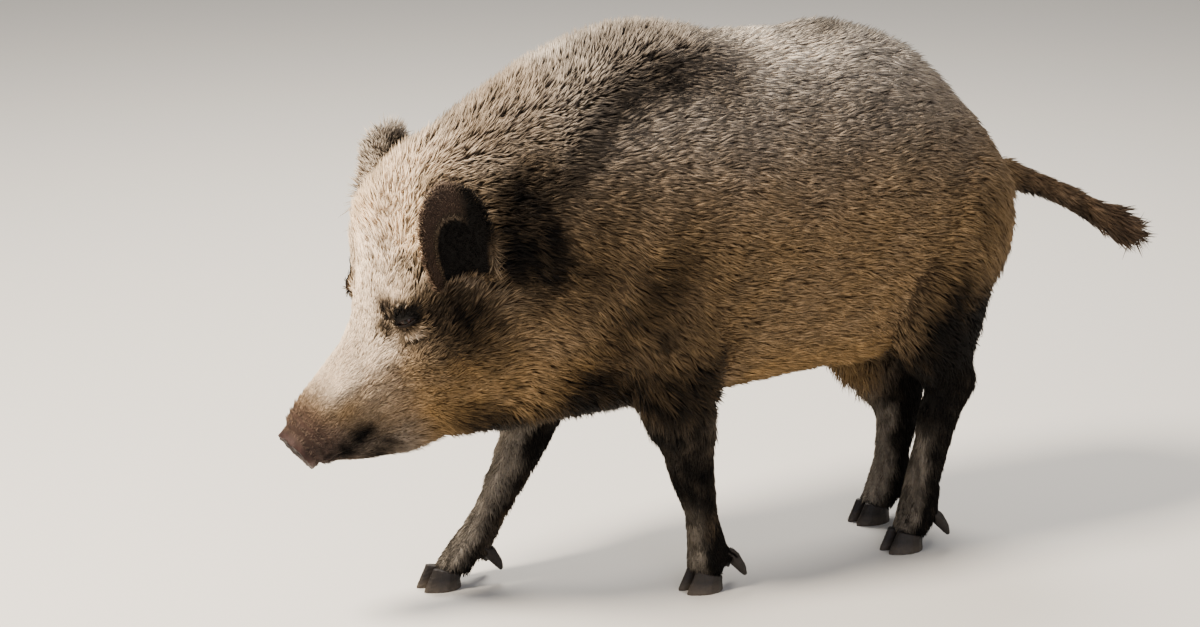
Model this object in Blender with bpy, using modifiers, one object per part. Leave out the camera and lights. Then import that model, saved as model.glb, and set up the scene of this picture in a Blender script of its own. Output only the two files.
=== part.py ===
"""Wild boar, an adult sow in an easy walk, as a life-size display model.

Metres, +Z up. The head points to -X, the animal's left side is at -Y, and the claws stand on Z = 0.
The flesh is modelled whole: a trunk, a head, four limbs and a tail are lofted through a few sections
each, fused, evened out, and then parted by cuts 0.4 mm wide. The outline is the coat's, out to the
tips of the hair. Lengths along the body run from the withers, + to the rear. The model is last moved
so that the middle of its box stands over the origin.
"""

from collections import namedtuple
from math import cos, pi, radians, sin, tan

import bmesh
import bpy
import numpy as np
from mathutils import Matrix, Vector

# Driving dimensions of the animal.
WITHERS_HEIGHT = 0.769
CUT = 0.0004  # width of each parting cut
SPECK = 0.0001  # edges shorter than this are closed up
VOXEL = 0.0075  # grid on which the lofts are fused
SMOOTHING_PASSES = 12
FLESH_FACES = 2900  # triangles of the fused flesh
RING_POINTS = 40
STEPS_BETWEEN = 4  # rings added between two sections of a loft

# Head. Its axis runs from the back of the skull down to the snout.
HEAD_PITCH = radians(36.0)
HEAD_YAW = radians(-4.0)  # a little to the animal's right
HEAD_ROLL = radians(10.0)  # the left ear lower
HEAD_PIVOT = Vector((-0.300, 0.0, 0.430))
SNOUT_CENTRE = Vector((-0.511, 0.0, 0.250))  # before yaw and roll

DISC_RADIUS = 0.0335
DISC_THICKNESS = 0.013
DISC_TILT = radians(4.0)  # leans back from the head's cross-section
DISC_SIDES = 22
NOSTRIL_SIDE, NOSTRIL_UP, NOSTRIL_RADIUS = 0.0125, 0.002, 0.0052
NOSTRIL_DEPTH = 0.007

# The mouth's cut runs back and down from below the disc. The jaw ends at its corner.
MOUTH_START = Vector((0.012, 0.0, -0.0365))
MOUTH_SLOPE = radians(-16.0)
MOUTH_LENGTH = 0.100

EYE_RADIUS = 0.0120
EYE_BACK, EYE_SIDE, EYE_UP = 0.2045, 0.0655, 0.0840  # in the head's own frame

# Each ear's root, its tip and the way it opens, in the head's own frame. The right one is laid back.
EARS = {
    "left": (Vector((0.277, -0.092, 0.069)), Vector((0.325, -0.114, 0.232)), Vector((-0.30, -0.85, -0.11))),
    "right": (Vector((0.292, 0.086, 0.064)), Vector((0.368, 0.130, 0.192)), Vector((-0.15, 0.95, 0.10))),
}
EAR_HALF_WIDTH = 0.047
EAR_THICKNESS = 0.0085
EAR_CUP = 0.017  # how far the rims curl forward
EAR_POINTS = 14

# Foot. Each one stands on two claws and carries two dewclaws behind.
SOLE_LEVEL = 0.009  # of the soles, in the tables below
CLAW_LENGTH, CLAW_WIDTH = 0.056, 0.0245
CLAW_GAP = 0.003
CORONET_HEIGHT = 0.027  # over the middle of the sole
CORONET_SLOPE = radians(16.0)  # higher at the toe
CLAW_LEAN = 0.42  # the walls' lean to the rear
CLAW_POINTS = 12
DEWCLAW_RADIUS = 0.0085

Station = namedtuple("Station", "at top bottom half_width ridge")
TRUNK = (
    Station(0.558, 0.500, 0.430, 0.030, 2.0),  # rump end
    Station(0.544, 0.529, 0.385, 0.070, 2.0),
    Station(0.514, 0.577, 0.335, 0.107, 2.0),  # buttocks
    Station(0.462, 0.631, 0.296, 0.138, 2.0),  # croup
    Station(0.400, 0.683, 0.272, 0.159, 2.0),  # hips
    Station(0.340, 0.716, 0.272, 0.170, 2.0),  # flank
    Station(0.270, 0.735, 0.267, 0.178, 1.95),  # loin
    Station(0.190, 0.733, 0.264, 0.182, 1.95),
    Station(0.110, 0.742, 0.261, 0.183, 1.9),  # back
    Station(0.040, 0.760, 0.259, 0.178, 1.85),  # behind the shoulders
    Station(-0.030, WITHERS_HEIGHT, 0.257, 0.168, 1.8),  # withers
    Station(-0.110, 0.754, 0.255, 0.155, 1.8),  # brisket
    Station(-0.190, 0.723, 0.253, 0.142, 1.8),  # base of the neck
    Station(-0.260, 0.687, 0.252, 0.130, 1.85),  # neck
    Station(-0.330, 0.645, 0.264, 0.116, 1.9),  # throat
    Station(-0.385, 0.596, 0.330, 0.092, 2.0),  # poll
    Station(-0.412, 0.560, 0.420, 0.050, 2.0),
)
HEAD = (  # at is the distance behind the snout, and heights are above the head's axis
    Station(0.006, 0.0345, -0.0340, 0.0320, 2.2),  # muzzle end
    Station(0.034, 0.0480, -0.0480, 0.0355, 2.4),  # upper lip
    Station(0.070, 0.0580, -0.0800, 0.0395, 2.5),  # bridge of the nose
    Station(0.105, 0.0630, -0.1010, 0.0460, 2.5),  # mouth corner
    Station(0.140, 0.0700, -0.1140, 0.0550, 2.5),
    Station(0.168, 0.0860, -0.1210, 0.0645, 2.4),  # cheeks
    Station(0.190, 0.1100, -0.1260, 0.0730, 2.4),
    Station(0.214, 0.1380, -0.1310, 0.0800, 2.3),  # eyes
    Station(0.236, 0.1670, -0.1340, 0.0860, 2.2),  # forehead
    Station(0.262, 0.1920, -0.1320, 0.0920, 2.1),  # jowls
    Station(0.290, 0.2060, -0.1360, 0.0960, 2.0),  # ears
    Station(0.325, 0.2060, -0.1360, 0.0960, 2.0),
    Station(0.365, 0.1850, -0.1200, 0.0850, 2.0),
    Station(0.400, 0.1400, -0.0900, 0.0600, 2.0),
)

Level = namedtuple("Level", "height at side half_length half_width")
FORE_LEFT = (
    Level(0.620, -0.030, -0.078, 0.050, 0.040),  # shoulder blade
    Level(0.540, -0.050, -0.098, 0.090, 0.056),
    Level(0.450, -0.060, -0.110, 0.100, 0.060),  # point of the shoulder
    Level(0.370, -0.045, -0.114, 0.084, 0.056),
    Level(0.315, -0.032, -0.113, 0.066, 0.051),  # elbow
    Level(0.260, -0.020, -0.109, 0.049, 0.043),
    Level(0.210, -0.003, -0.104, 0.0365, 0.0350),  # forearm
    Level(0.168, 0.008, -0.100, 0.0310, 0.0305),  # knee
    Level(0.142, 0.016, -0.098, 0.0270, 0.0265),
    Level(0.108, 0.026, -0.097, 0.0240, 0.0235),  # cannon
    Level(0.078, 0.033, -0.096, 0.0260, 0.0260),  # fetlock
    Level(0.050, 0.032, -0.096, 0.0245, 0.0270),  # pastern
    Level(0.020, 0.028, -0.096, 0.0230, 0.0245),
)
FORE_RIGHT = (
    Level(0.620, -0.030, 0.078, 0.050, 0.040),
    Level(0.540, -0.050, 0.098, 0.090, 0.056),
    Level(0.450, -0.065, 0.110, 0.100, 0.060),
    Level(0.370, -0.075, 0.112, 0.084, 0.056),
    Level(0.315, -0.085, 0.108, 0.066, 0.051),
    Level(0.260, -0.102, 0.102, 0.049, 0.042),
    Level(0.210, -0.122, 0.098, 0.0400, 0.0350),
    Level(0.168, -0.145, 0.095, 0.0350, 0.0305),
    Level(0.142, -0.161, 0.093, 0.0310, 0.0275),
    Level(0.108, -0.184, 0.091, 0.0275, 0.0245),
    Level(0.078, -0.206, 0.090, 0.0280, 0.0260),
    Level(0.050, -0.232, 0.090, 0.0285, 0.0270),
    Level(0.020, -0.256, 0.090, 0.0255, 0.0245),
)
HIND_LEFT = (
    Level(0.600, 0.375, -0.070, 0.045, 0.040),  # hip
    Level(0.540, 0.395, -0.092, 0.103, 0.058),
    Level(0.460, 0.390, -0.104, 0.117, 0.066),  # ham
    Level(0.390, 0.374, -0.108, 0.102, 0.064),
    Level(0.330, 0.377, -0.106, 0.083, 0.055),  # stifle
    Level(0.280, 0.391, -0.102, 0.058, 0.042),
    Level(0.236, 0.420, -0.099, 0.0390, 0.0320),  # hock
    Level(0.200, 0.408, -0.097, 0.0330, 0.0275),
    Level(0.160, 0.399, -0.095, 0.0285, 0.0245),
    Level(0.110, 0.385, -0.093, 0.0265, 0.0240),
    Level(0.078, 0.380, -0.092, 0.0280, 0.0265),
    Level(0.050, 0.371, -0.092, 0.0265, 0.0270),
    Level(0.020, 0.358, -0.092, 0.0235, 0.0245),
)
HIND_RIGHT = (
    Level(0.600, 0.380, 0.070, 0.045, 0.040),
    Level(0.540, 0.400, 0.092, 0.103, 0.058),
    Level(0.460, 0.398, 0.102, 0.117, 0.066),
    Level(0.390, 0.393, 0.098, 0.104, 0.064),
    Level(0.330, 0.394, 0.086, 0.100, 0.057),
    Level(0.280, 0.399, 0.073, 0.093, 0.047),
    Level(0.236, 0.410, 0.060, 0.0780, 0.0380),
    Level(0.200, 0.427, 0.051, 0.0570, 0.0300),
    Level(0.160, 0.437, 0.043, 0.0380, 0.0250),
    Level(0.110, 0.426, 0.038, 0.0275, 0.0240),
    Level(0.078, 0.420, 0.036, 0.0280, 0.0265),
    Level(0.050, 0.408, 0.036, 0.0270, 0.0270),
    Level(0.020, 0.392, 0.036, 0.0240, 0.0245),
)
# Along the tail: x, y, z, half thickness, half width.
TAIL = (
    (0.520, 0.000, 0.510, 0.026, 0.028),  # root, inside the rump
    (0.575, -0.001, 0.492, 0.023, 0.024),
    (0.640, -0.004, 0.467, 0.0190, 0.017),
    (0.698, -0.008, 0.440, 0.0205, 0.015),
    (0.746, -0.011, 0.412, 0.0250, 0.015),
    (0.786, -0.013, 0.389, 0.0265, 0.015),  # brush
    (0.812, -0.015, 0.374, 0.0200, 0.012),
    (0.826, -0.016, 0.366, 0.0070, 0.006),
)
BRUSH_START = Vector((0.726, 0.0, 0.427))
TAIL_SLOPE = radians(28.0)  # below the level, at the brush

# The middle of each foot's soles, x and y, and where the back of its fetlock is, x.
FEET = {
    "foreleg_left": (0.024, -0.096, 0.053),
    "foreleg_right": (-0.268, 0.090, -0.212),
    "hindleg_left": (0.350, -0.092, 0.386),
    "hindleg_right": (0.385, 0.036, 0.426),
}

# Each limb: its levels, the heights of its two joints, and the side outline (x, z) and
# reach across of the block that parts it from the trunk.
Limb = namedtuple("Limb", "levels joints pieces outline across")
LIMBS = {
    "foreleg_left": Limb(
        FORE_LEFT, (0.166, 0.086), ("forearm", "cannon", "pastern"),
        ((-0.150, -0.05), (-0.150, 0.20), (-0.105, 0.284), (0.070, 0.290), (0.100, 0.20), (0.100, -0.05)),
        (-0.300, -0.052),
    ),
    "foreleg_right": Limb(
        FORE_RIGHT, (0.162, 0.086), ("forearm", "cannon", "pastern"),
        ((-0.400, -0.05), (-0.400, 0.17), (-0.190, 0.272), (-0.010, 0.290), (0.040, 0.20), (0.040, -0.05)),
        (0.046, 0.300),
    ),
    "hindleg_left": Limb(
        HIND_LEFT, (0.222, 0.086), ("shank", "cannon", "pastern"),
        ((0.240, -0.05), (0.240, 0.20), (0.290, 0.312), (0.480, 0.312), (0.600, 0.26), (0.600, -0.05)),
        (-0.300, -0.040),
    ),
    "hindleg_right": Limb(
        HIND_RIGHT, (0.205, 0.086), ("shank", "cannon", "pastern"),
        ((0.250, -0.05), (0.250, 0.20), (0.290, 0.306), (0.490, 0.306), (0.640, 0.26), (0.640, -0.05)),
        (0.006, 0.300),
    ),
}

HIDE = ("coat_brown", (0.20, 0.14, 0.09), 0.85)
SNOUT_SKIN = ("snout_skin", (0.16, 0.10, 0.09), 0.55)
HORN = ("claw_horn", (0.05, 0.04, 0.035), 0.45)
EYE = ("eye_brown", (0.03, 0.015, 0.01), 0.08)


def clear_scene():
    for old in list(bpy.data.objects):
        bpy.data.objects.remove(old, do_unlink=True)


def collection(name):
    made = bpy.data.collections.new(name)
    bpy.context.scene.collection.children.link(made)
    return made


def material(finish):
    name, colour, roughness = finish
    found = bpy.data.materials.get(name)
    if found:
        return found
    made = bpy.data.materials.new(name)
    made.use_nodes = True
    shader = made.node_tree.nodes["Principled BSDF"]
    shader.inputs["Base Color"].default_value = (*colour, 1.0)
    shader.inputs["Roughness"].default_value = roughness
    shader.inputs["Metallic"].default_value = 0.0
    made.diffuse_color = (*colour, 1.0)
    return made


def new_object(name, mesh, where, finish=HIDE):
    made = bpy.data.objects.new(name, mesh)
    where.objects.link(made)
    mesh.materials.clear()
    mesh.materials.append(material(finish))
    return made


def as_cutter(made):
    """Shows a helper as wire, and keeps it out of renders."""
    made.hide_render = True
    made.display_type = "WIRE"
    return made


def evaluated_mesh(made, name):
    """The object's mesh with its modifiers, in world space."""
    bpy.context.view_layer.update()
    found = made.evaluated_get(bpy.context.evaluated_depsgraph_get())
    mesh = bpy.data.meshes.new_from_object(found)
    mesh.transform(made.matrix_world)
    mesh.name = name
    return mesh


def through(rows):
    """The rows with STEPS_BETWEEN rings to each gap, on a smooth curve through all of them."""
    known = np.array(rows, float)
    ends = np.vstack([2 * known[0] - known[1], known, 2 * known[-1] - known[-2]])
    found = []
    for i in range(len(known) - 1):
        before, start, end, after = ends[i : i + 4]
        for t in np.arange(STEPS_BETWEEN) / STEPS_BETWEEN:
            cubic = 3 * start - before - 3 * end + after
            square = 2 * before - 5 * start + 4 * end - after
            found.append(start + 0.5 * t * ((end - before) + t * (square + t * cubic)))
    return [*found, known[-1]]


def rounded(angle, power):
    """A point of a superellipse of half-sizes 1: power 2 is a circle, and more is squarer."""
    c, s = cos(angle), sin(angle)
    share = 2.0 / power
    return np.sign(c) * abs(c) ** share, np.sign(s) * abs(s) ** share


def loft(name, rings, where, finish=HIDE):
    """A closed skin over rings of equally many points, with a cap at each end."""
    work = bmesh.new()
    made = [[work.verts.new(point) for point in ring] for ring in rings]
    for ring, following in zip(made, made[1:]):
        for i in range(len(ring)):
            j = (i + 1) % len(ring)
            work.faces.new((ring[i], ring[j], following[j], following[i]))
    work.faces.new(made[0][::-1])
    work.faces.new(made[-1])
    bmesh.ops.recalc_face_normals(work, faces=work.faces)
    mesh = bpy.data.meshes.new(name)
    work.to_mesh(mesh)
    work.free()
    return new_object(name, mesh, where, finish)


def station_ring(station, widest, low_power):
    """Points (at, side, height) of an upright section, widest at a share of its height."""
    at, top, bottom, half_width, ridge = station
    middle = bottom + widest * (top - bottom)
    points = []
    for i in range(RING_POINTS):
        angle = 2 * pi * i / RING_POINTS
        side, rise = rounded(angle, ridge if sin(angle) > 0 else low_power)
        height = middle + rise * ((top - middle) if rise > 0 else (middle - bottom))
        points.append(Vector((at, side * half_width, height)))
    return points


def limb_ring(level):
    height, at, side, half_length, half_width = level
    corners = (rounded(2 * pi * i / RING_POINTS, 2.2) for i in range(RING_POINTS))
    return [Vector((at + a * half_length, side + b * half_width, height)) for a, b in corners]


def tube_rings(rows, points):
    """Rings square to a path. Each row is x, y, z, half thickness and half width."""
    rings = []
    for i, (x, y, z, thick, wide) in enumerate(rows):
        before, after = rows[max(i - 1, 0)][:3], rows[min(i + 1, len(rows) - 1)][:3]
        along = (Vector(after) - Vector(before)).normalized()
        across = along.cross(Vector((0, 0, 1))).normalized()
        up = across.cross(along)
        angles = (2 * pi * k / points for k in range(points))
        rings.append([Vector((x, y, z)) + across * cos(a) * wide + up * sin(a) * thick for a in angles])
    return rings


def head_frame():
    """Takes (distance behind the snout, side, height over the axis) to the animal's own place."""
    place = Matrix.Translation(SNOUT_CENTRE) @ Matrix.Rotation(-HEAD_PITCH, 4, "Y")
    to_pivot = Matrix.Translation(HEAD_PIVOT)
    axis = Vector((cos(HEAD_PITCH), 0.0, sin(HEAD_PITCH)))
    turn = Matrix.Rotation(HEAD_YAW, 4, "Z") @ Matrix.Rotation(HEAD_ROLL, 4, axis)
    return to_pivot @ turn @ to_pivot.inverted() @ place


def even_out(mesh, passes):
    """Smooths a mesh by Taubin's method, which keeps its volume."""
    count = len(mesh.vertices)
    points = np.empty(count * 3)
    mesh.vertices.foreach_get("co", points)
    points = points.reshape(-1, 3)
    edges = np.empty(len(mesh.edges) * 2, np.int32)
    mesh.edges.foreach_get("vertices", edges)
    a, b = edges.reshape(-1, 2).T
    near = np.maximum(np.bincount(np.concatenate([a, b]), minlength=count), 1)[:, None]
    for factor in (0.62, -0.64) * passes:
        total = np.zeros_like(points)
        np.add.at(total, a, points[b])
        np.add.at(total, b, points[a])
        points += factor * (total / near - points)
    mesh.vertices.foreach_set("co", points.ravel())
    mesh.update()


def fused(lofts, where):
    """One closed body of all the lofts, smoothed and thinned to FLESH_FACES triangles."""
    work = bmesh.new()
    for made in lofts:
        work.from_mesh(made.data)
    mesh = bpy.data.meshes.new("flesh")
    work.to_mesh(mesh)
    work.free()
    whole = as_cutter(new_object("flesh", mesh, where))
    remesh = whole.modifiers.new("fuse", "REMESH")
    remesh.mode = "VOXEL"
    remesh.voxel_size = VOXEL
    mesh = evaluated_mesh(whole, "flesh_fused")
    even_out(mesh, SMOOTHING_PASSES)
    whole.modifiers.clear()
    whole.data = mesh
    thin = whole.modifiers.new("thin", "DECIMATE")
    thin.ratio = FLESH_FACES / sum(len(face.vertices) - 2 for face in mesh.polygons)
    thin.use_collapse_triangulate = True
    whole.data = evaluated_mesh(whole, "flesh_thin")
    whole.modifiers.clear()
    return whole


def box(name, low, high, where, frame=Matrix.Identity(4)):
    """A box between two corners of a frame."""
    low, high = Vector(low), Vector(high)
    mesh = bpy.data.meshes.new(name)
    work = bmesh.new()
    size = Matrix.Diagonal((*(high - low), 1.0))
    bmesh.ops.create_cube(work, size=1.0, matrix=frame @ Matrix.Translation((low + high) / 2) @ size)
    work.to_mesh(mesh)
    work.free()
    return as_cutter(new_object(name, mesh, where))


def block(name, limb, where, margin=0.0):
    """The prism across the body that holds one limb, swollen by a margin."""
    corners = [Vector((x, 0.0, z)) for x, z in limb.outline]
    middle = sum(corners, Vector()) / len(corners)
    corners = [p + margin * Vector((np.sign(p.x - middle.x), 0.0, np.sign(p.z - middle.z))) for p in corners]
    across = (limb.across[0] - margin, limb.across[1] + margin)
    rings = [[p + Vector((0.0, y, 0.0)) for p in corners] for y in across]
    return as_cutter(loft(name, rings, where))


def sides_of(name, point, lean, where, reach=1.2):
    """All that is behind a cut across the body, and all ahead of it, as boxes that overlap by the
    cut's width. lean tips the cut's top forward."""
    frame = Matrix.Translation(point) @ Matrix.Rotation(-lean, 4, "Y")
    low, high = (-reach,) * 3, (reach,) * 3
    behind = box(f"{name}_behind", (-CUT / 2, *low[1:]), high, where, frame)
    ahead = box(f"{name}_ahead", low, (CUT / 2, *high[1:]), where, frame)
    return behind, ahead


def apply_booleans(made, keep=(), remove=()):
    """Cuts an object down to what lies in all of keep and in none of remove."""
    for operation, cutters in (("INTERSECT", keep), ("DIFFERENCE", remove)):
        for cutter in cutters:
            step = made.modifiers.new(cutter.name, "BOOLEAN")
            step.operation = operation
            step.object = cutter
            step.solver = "EXACT"
    made.data = evaluated_mesh(made, made.name)
    made.modifiers.clear()
    work = bmesh.new()
    work.from_mesh(made.data)
    bmesh.ops.remove_doubles(work, verts=work.verts, dist=SPECK)
    bmesh.ops.dissolve_degenerate(work, edges=work.edges, dist=SPECK)
    bmesh.ops.triangulate(work, faces=work.faces)
    work.to_mesh(made.data)
    work.free()
    made.data.shade_smooth()
    made.data.set_sharp_from_angle(angle=radians(50.0))
    return made


def carved(name, whole, where, keep=(), remove=()):
    return apply_booleans(new_object(name, whole.data.copy(), where), keep, remove)


def grown(made, where, by=CUT):
    """A cutter as large as a piece and a little more all round."""
    helper = as_cutter(new_object(made.name + "_grown", made.data.copy(), where))
    swell = helper.modifiers.new("swell", "DISPLACE")
    swell.mid_level = 0.0
    swell.strength = by
    helper.data = evaluated_mesh(helper, helper.name)
    helper.modifiers.clear()
    return helper


def ball(name, centre, radius, where, finish, segments=12, rings=8):
    mesh = bpy.data.meshes.new(name)
    work = bmesh.new()
    bmesh.ops.create_uvsphere(work, u_segments=segments, v_segments=rings, radius=radius,
                              matrix=Matrix.Translation(centre))
    work.to_mesh(mesh)
    work.free()
    mesh.shade_smooth()
    return new_object(name, mesh, where, finish)


def snout_disc(place, where, cutters):
    """The bare end of the snout: an oval disc with a raised rim and two nostrils."""
    frame = place @ Matrix.Rotation(-DISC_TILT, 4, "Y")
    profile = (  # distance behind the disc's face, and share of its radius
        (DISC_THICKNESS, 0.93), (0.006, 1.0), (0.001, 1.0), (-0.0015, 0.90), (0.0005, 0.62), (0.0008, 0.30),
    )
    rings = []
    for back, share in profile:
        ring = []
        for i in range(DISC_SIDES):
            side, rise = rounded(2 * pi * i / DISC_SIDES, 2.25)
            height = rise * share * DISC_RADIUS * (0.98 if rise > 0 else 1.04)
            ring.append(frame @ Vector((back, side * share * DISC_RADIUS, height)))
        rings.append(ring)
    disc = loft("snout_disc", rings, where, SNOUT_SKIN)
    pits = []
    for side in (-1, 1):
        rows = [(back, side * NOSTRIL_SIDE, NOSTRIL_UP, NOSTRIL_RADIUS * 1.25, NOSTRIL_RADIUS)
                for back in (-0.01, NOSTRIL_DEPTH)]
        rings = [[frame @ p for p in ring] for ring in tube_rings(rows, 9)]
        pits.append(as_cutter(loft(f"nostril_{side}", rings, cutters)))
    return apply_booleans(disc, remove=pits)


def ear(side, place, where):
    """A cupped leaf from its root to a rounded tip, open to the front and side."""
    root, tip, opening = EARS[side]
    along = tip - root
    length = along.length
    along.normalize()
    wide = along.cross(opening).normalized()
    facing = wide.cross(along)
    rings = []
    for t in (0.0, 0.14, 0.30, 0.46, 0.62, 0.76, 0.87, 0.95, 1.0):
        width = EAR_HALF_WIDTH * (0.62 + 0.38 * sin(pi * min(t / 0.56, 1) / 2)) * max(1 - t**5.5, 0.03) ** 0.5
        thick = EAR_THICKNESS * (1.35 - 0.6 * t)
        cup = EAR_CUP * (1.15 - 0.75 * t) * (width / EAR_HALF_WIDTH)
        bend = 0.012 * (t - 0.5) ** 2  # the tip and root lean to the back
        ring = []
        for i in range(EAR_POINTS):
            angle = 2 * pi * i / EAR_POINTS
            share = cos(angle)
            off = facing * (cup * share**2 + 0.5 * thick * sin(angle) - bend)
            ring.append(place @ (root + along * t * length + wide * share * width + off))
        rings.append(ring)
    return loft(f"ear_{side}", rings, where)


def claw(name, foot, side_sign, where):
    """Half of the hoof: flat below, straight on its inner side, and leaning back to the coronet."""
    x0, y0, _ = foot
    rings = []
    for t, size in ((0.0, 0.97), (0.12, 1.0), (0.6, 0.93), (1.0, 0.88)):
        ring = []
        for i in range(CLAW_POINTS):
            angle = 2 * pi * i / CLAW_POINTS
            forward, out = cos(angle) * size, sin(angle) * size
            taper = 1.0 - 0.42 * max(forward, 0.0) ** 1.6
            across = CLAW_WIDTH * (0.64 * out if out > 0 else 0.36 * out) * taper
            u = forward * CLAW_LENGTH / 2
            lean = CLAW_LEAN * (0.6 + 0.4 * forward)
            height = t * (CORONET_HEIGHT + u * tan(CORONET_SLOPE)) / (1 + lean * tan(CORONET_SLOPE))
            x = x0 - u + lean * height
            y = y0 + side_sign * (CLAW_GAP / 2 + CLAW_WIDTH * 0.36 + across)
            ring.append(Vector((x, y, SOLE_LEVEL + height)))
        rings.append(ring)
    return loft(name, rings, where, HORN)


def dewclaw_rows(foot, side_sign, start, end):
    """Rows of a tube from the back of the fetlock down to the dewclaw's point."""
    _, y0, heel = foot
    whole = (  # behind the heel's middle, height, radius
        (-0.020, 0.072, 1.30), (0.000, 0.062, 1.25), (0.014, 0.050, 1.10), (0.024, 0.036, 0.80),
        (0.029, 0.026, 0.30),
    )
    rows = []
    for i, (back, height, size) in enumerate(whole[start:end], start):
        radius = DEWCLAW_RADIUS * size
        rows.append((heel + back, y0 + side_sign * (0.013 + 0.002 * i), height, radius, radius))
    return rows


def part_trunk(whole, where, cutters):
    """The head, neck, chest, belly, rump and tail, by cuts across the body."""
    cuts = (
        ("neck_cut", Vector((-0.292, 0.0, 0.45)), radians(16.0)),
        ("chest_cut", Vector((-0.150, 0.0, 0.45)), radians(9.0)),
        ("belly_cut", Vector((0.118, 0.0, 0.45)), radians(4.0)),
        ("rump_cut", Vector((0.258, 0.0, 0.45)), radians(-3.0)),
        ("tail_cut", Vector((0.585, 0.0, 0.49)), radians(24.0)),
        ("brush_cut", BRUSH_START, TAIL_SLOPE),
    )
    names = ("head", "neck", "chest", "belly", "rump", "tail", "tail_brush")
    boxes = [sides_of(name, point, lean, cutters) for name, point, lean in cuts]
    gaps = [block(f"{name}_gap", limb, cutters, CUT) for name, limb in LIMBS.items()]
    made = {}
    for i, name in enumerate(names):
        remove = gaps + ([boxes[i - 1][1]] if i else []) + ([boxes[i][0]] if i < len(boxes) else [])
        made[name] = carved(name, whole, where, (), remove)
    return made


def part_limb(name, limb, whole, where, cutters):
    """A limb's three pieces, its claws and its dewclaws."""
    held = block(f"{name}_block", limb, cutters)
    x0, y0, _ = FEET[name]
    slope = Matrix.Translation((x0, 0, SOLE_LEVEL + CORONET_HEIGHT)) @ Matrix.Rotation(CORONET_SLOPE, 4, "Y")
    tops = (1.0, *limb.joints)
    for i, piece in enumerate(limb.pieces):
        low = limb.joints[i] + CUT / 2 if i < 2 else -1.0
        layer = box(f"{name}_{piece}_layer", (-2, -2, low), (2, 2, tops[i] - (CUT / 2 if i else 0)), cutters)
        keep = [held, layer]
        if i == 2:
            keep.append(box(f"{name}_coronet", (-1, -1, CUT), (1, 1, 1), cutters, slope))
        made = carved(f"{name}_{piece}", whole, where, keep)
    swollen = grown(made, cutters)
    for side, sign in (("outer", np.sign(y0)), ("inner", -np.sign(y0))):
        claw(f"{name}_claw_{side}", FEET[name], sign, where)
        rings = tube_rings(dewclaw_rows(FEET[name], sign, 1, 5), 7)
        apply_booleans(loft(f"{name}_dewclaw_{side}", rings, where, HORN), remove=[swollen])


def centre_on_floor(where):
    """Moves the model so that the middle of its box stands over the origin."""
    bpy.context.view_layer.update()
    points = np.array([made.matrix_world @ Vector(c) for made in where.objects for c in made.bound_box])
    low, high = points.min(0), points.max(0)
    shift = Vector((*(-(low + high) / 2)[:2], -low[2]))
    for made in where.objects:
        made.data.transform(Matrix.Translation(shift))


def main():
    clear_scene()
    boar = collection("wild_boar")
    cutters = collection("cutters")
    place = head_frame()

    lofts = [loft("trunk", [station_ring(row, 0.46, 2.15) for row in through(TRUNK)], cutters)]
    rings = [station_ring(row, 0.50, 2.3) for row in through(HEAD)]
    lofts.append(loft("head_loft", [[place @ p for p in ring] for ring in rings], cutters))
    lofts.append(loft("tail_loft", tube_rings(through(TAIL), RING_POINTS), cutters))
    for name, limb in LIMBS.items():
        lofts.append(loft(f"{name}_loft", [limb_ring(row) for row in through(limb.levels)], cutters))
        for sign in (-1, 1):
            rows = dewclaw_rows(FEET[name], sign, 0, 3)
            lofts.append(loft(f"{name}_heel_{sign}", tube_rings(rows, 16), cutters))
    whole = fused(lofts, cutters)
    for made in lofts:
        bpy.data.objects.remove(made, do_unlink=True)

    pieces = part_trunk(whole, boar, cutters)
    for name, limb in LIMBS.items():
        part_limb(name, limb, whole, boar, cutters)

    disc = snout_disc(place, boar, cutters)
    swollen_disc = grown(disc, cutters, 3 * CUT)
    eyes = []
    for side, sign in (("left", -1), ("right", 1)):
        centre = place @ Vector((EYE_BACK, sign * EYE_SIDE, EYE_UP))
        ball(f"eye_{side}", centre, EYE_RADIUS, boar, EYE)
        eyes.append(as_cutter(ball(f"socket_{side}", centre, EYE_RADIUS + 2 * CUT, cutters, EYE)))
    mouth = place @ Matrix.Translation(MOUTH_START) @ Matrix.Rotation(-MOUTH_SLOPE, 4, "Y")
    jaw_block = box("jaw_block", (0.006, -0.2, -0.2), (MOUTH_LENGTH, 0.2, -CUT / 2), cutters, mouth)
    jaw_gap = box("jaw_gap", (-0.1, -0.3, -0.3), (MOUTH_LENGTH + CUT, 0.3, CUT / 2), cutters, mouth)
    disc_frame = place @ Matrix.Rotation(-DISC_TILT, 4, "Y")
    behind_disc = box("behind_disc", (DISC_THICKNESS + CUT, -1, -1), (1, 1, 1), cutters, disc_frame)
    head = pieces["head"]
    lower = new_object("lower_jaw", head.data.copy(), boar)
    apply_booleans(lower, keep=[jaw_block], remove=[swollen_disc])
    apply_booleans(head, keep=[behind_disc], remove=[jaw_gap, *eyes])
    swollen_head = grown(head, cutters)
    swollen_neck = grown(pieces["neck"], cutters)
    for side in EARS:
        apply_booleans(ear(side, place, boar), remove=[swollen_head, swollen_neck])
    centre_on_floor(boar)


main()
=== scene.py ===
"""Looks of the wild boar: one hide over all the flesh, a coat of solid tufts, the eyes and the claws.

Metres, +Z up. The head points to -X and the animal's left side is at -Y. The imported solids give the
outline out to the tips of the hair, so the hide lies inside them by the depth of the coat. Places on
the head are given in the head's own frame: distance behind the snout, side, and height over the axis.
"""

from math import cos, pi, radians, sin

import bmesh
import bpy
import numpy as np
from mathutils import Matrix, Vector


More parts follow.
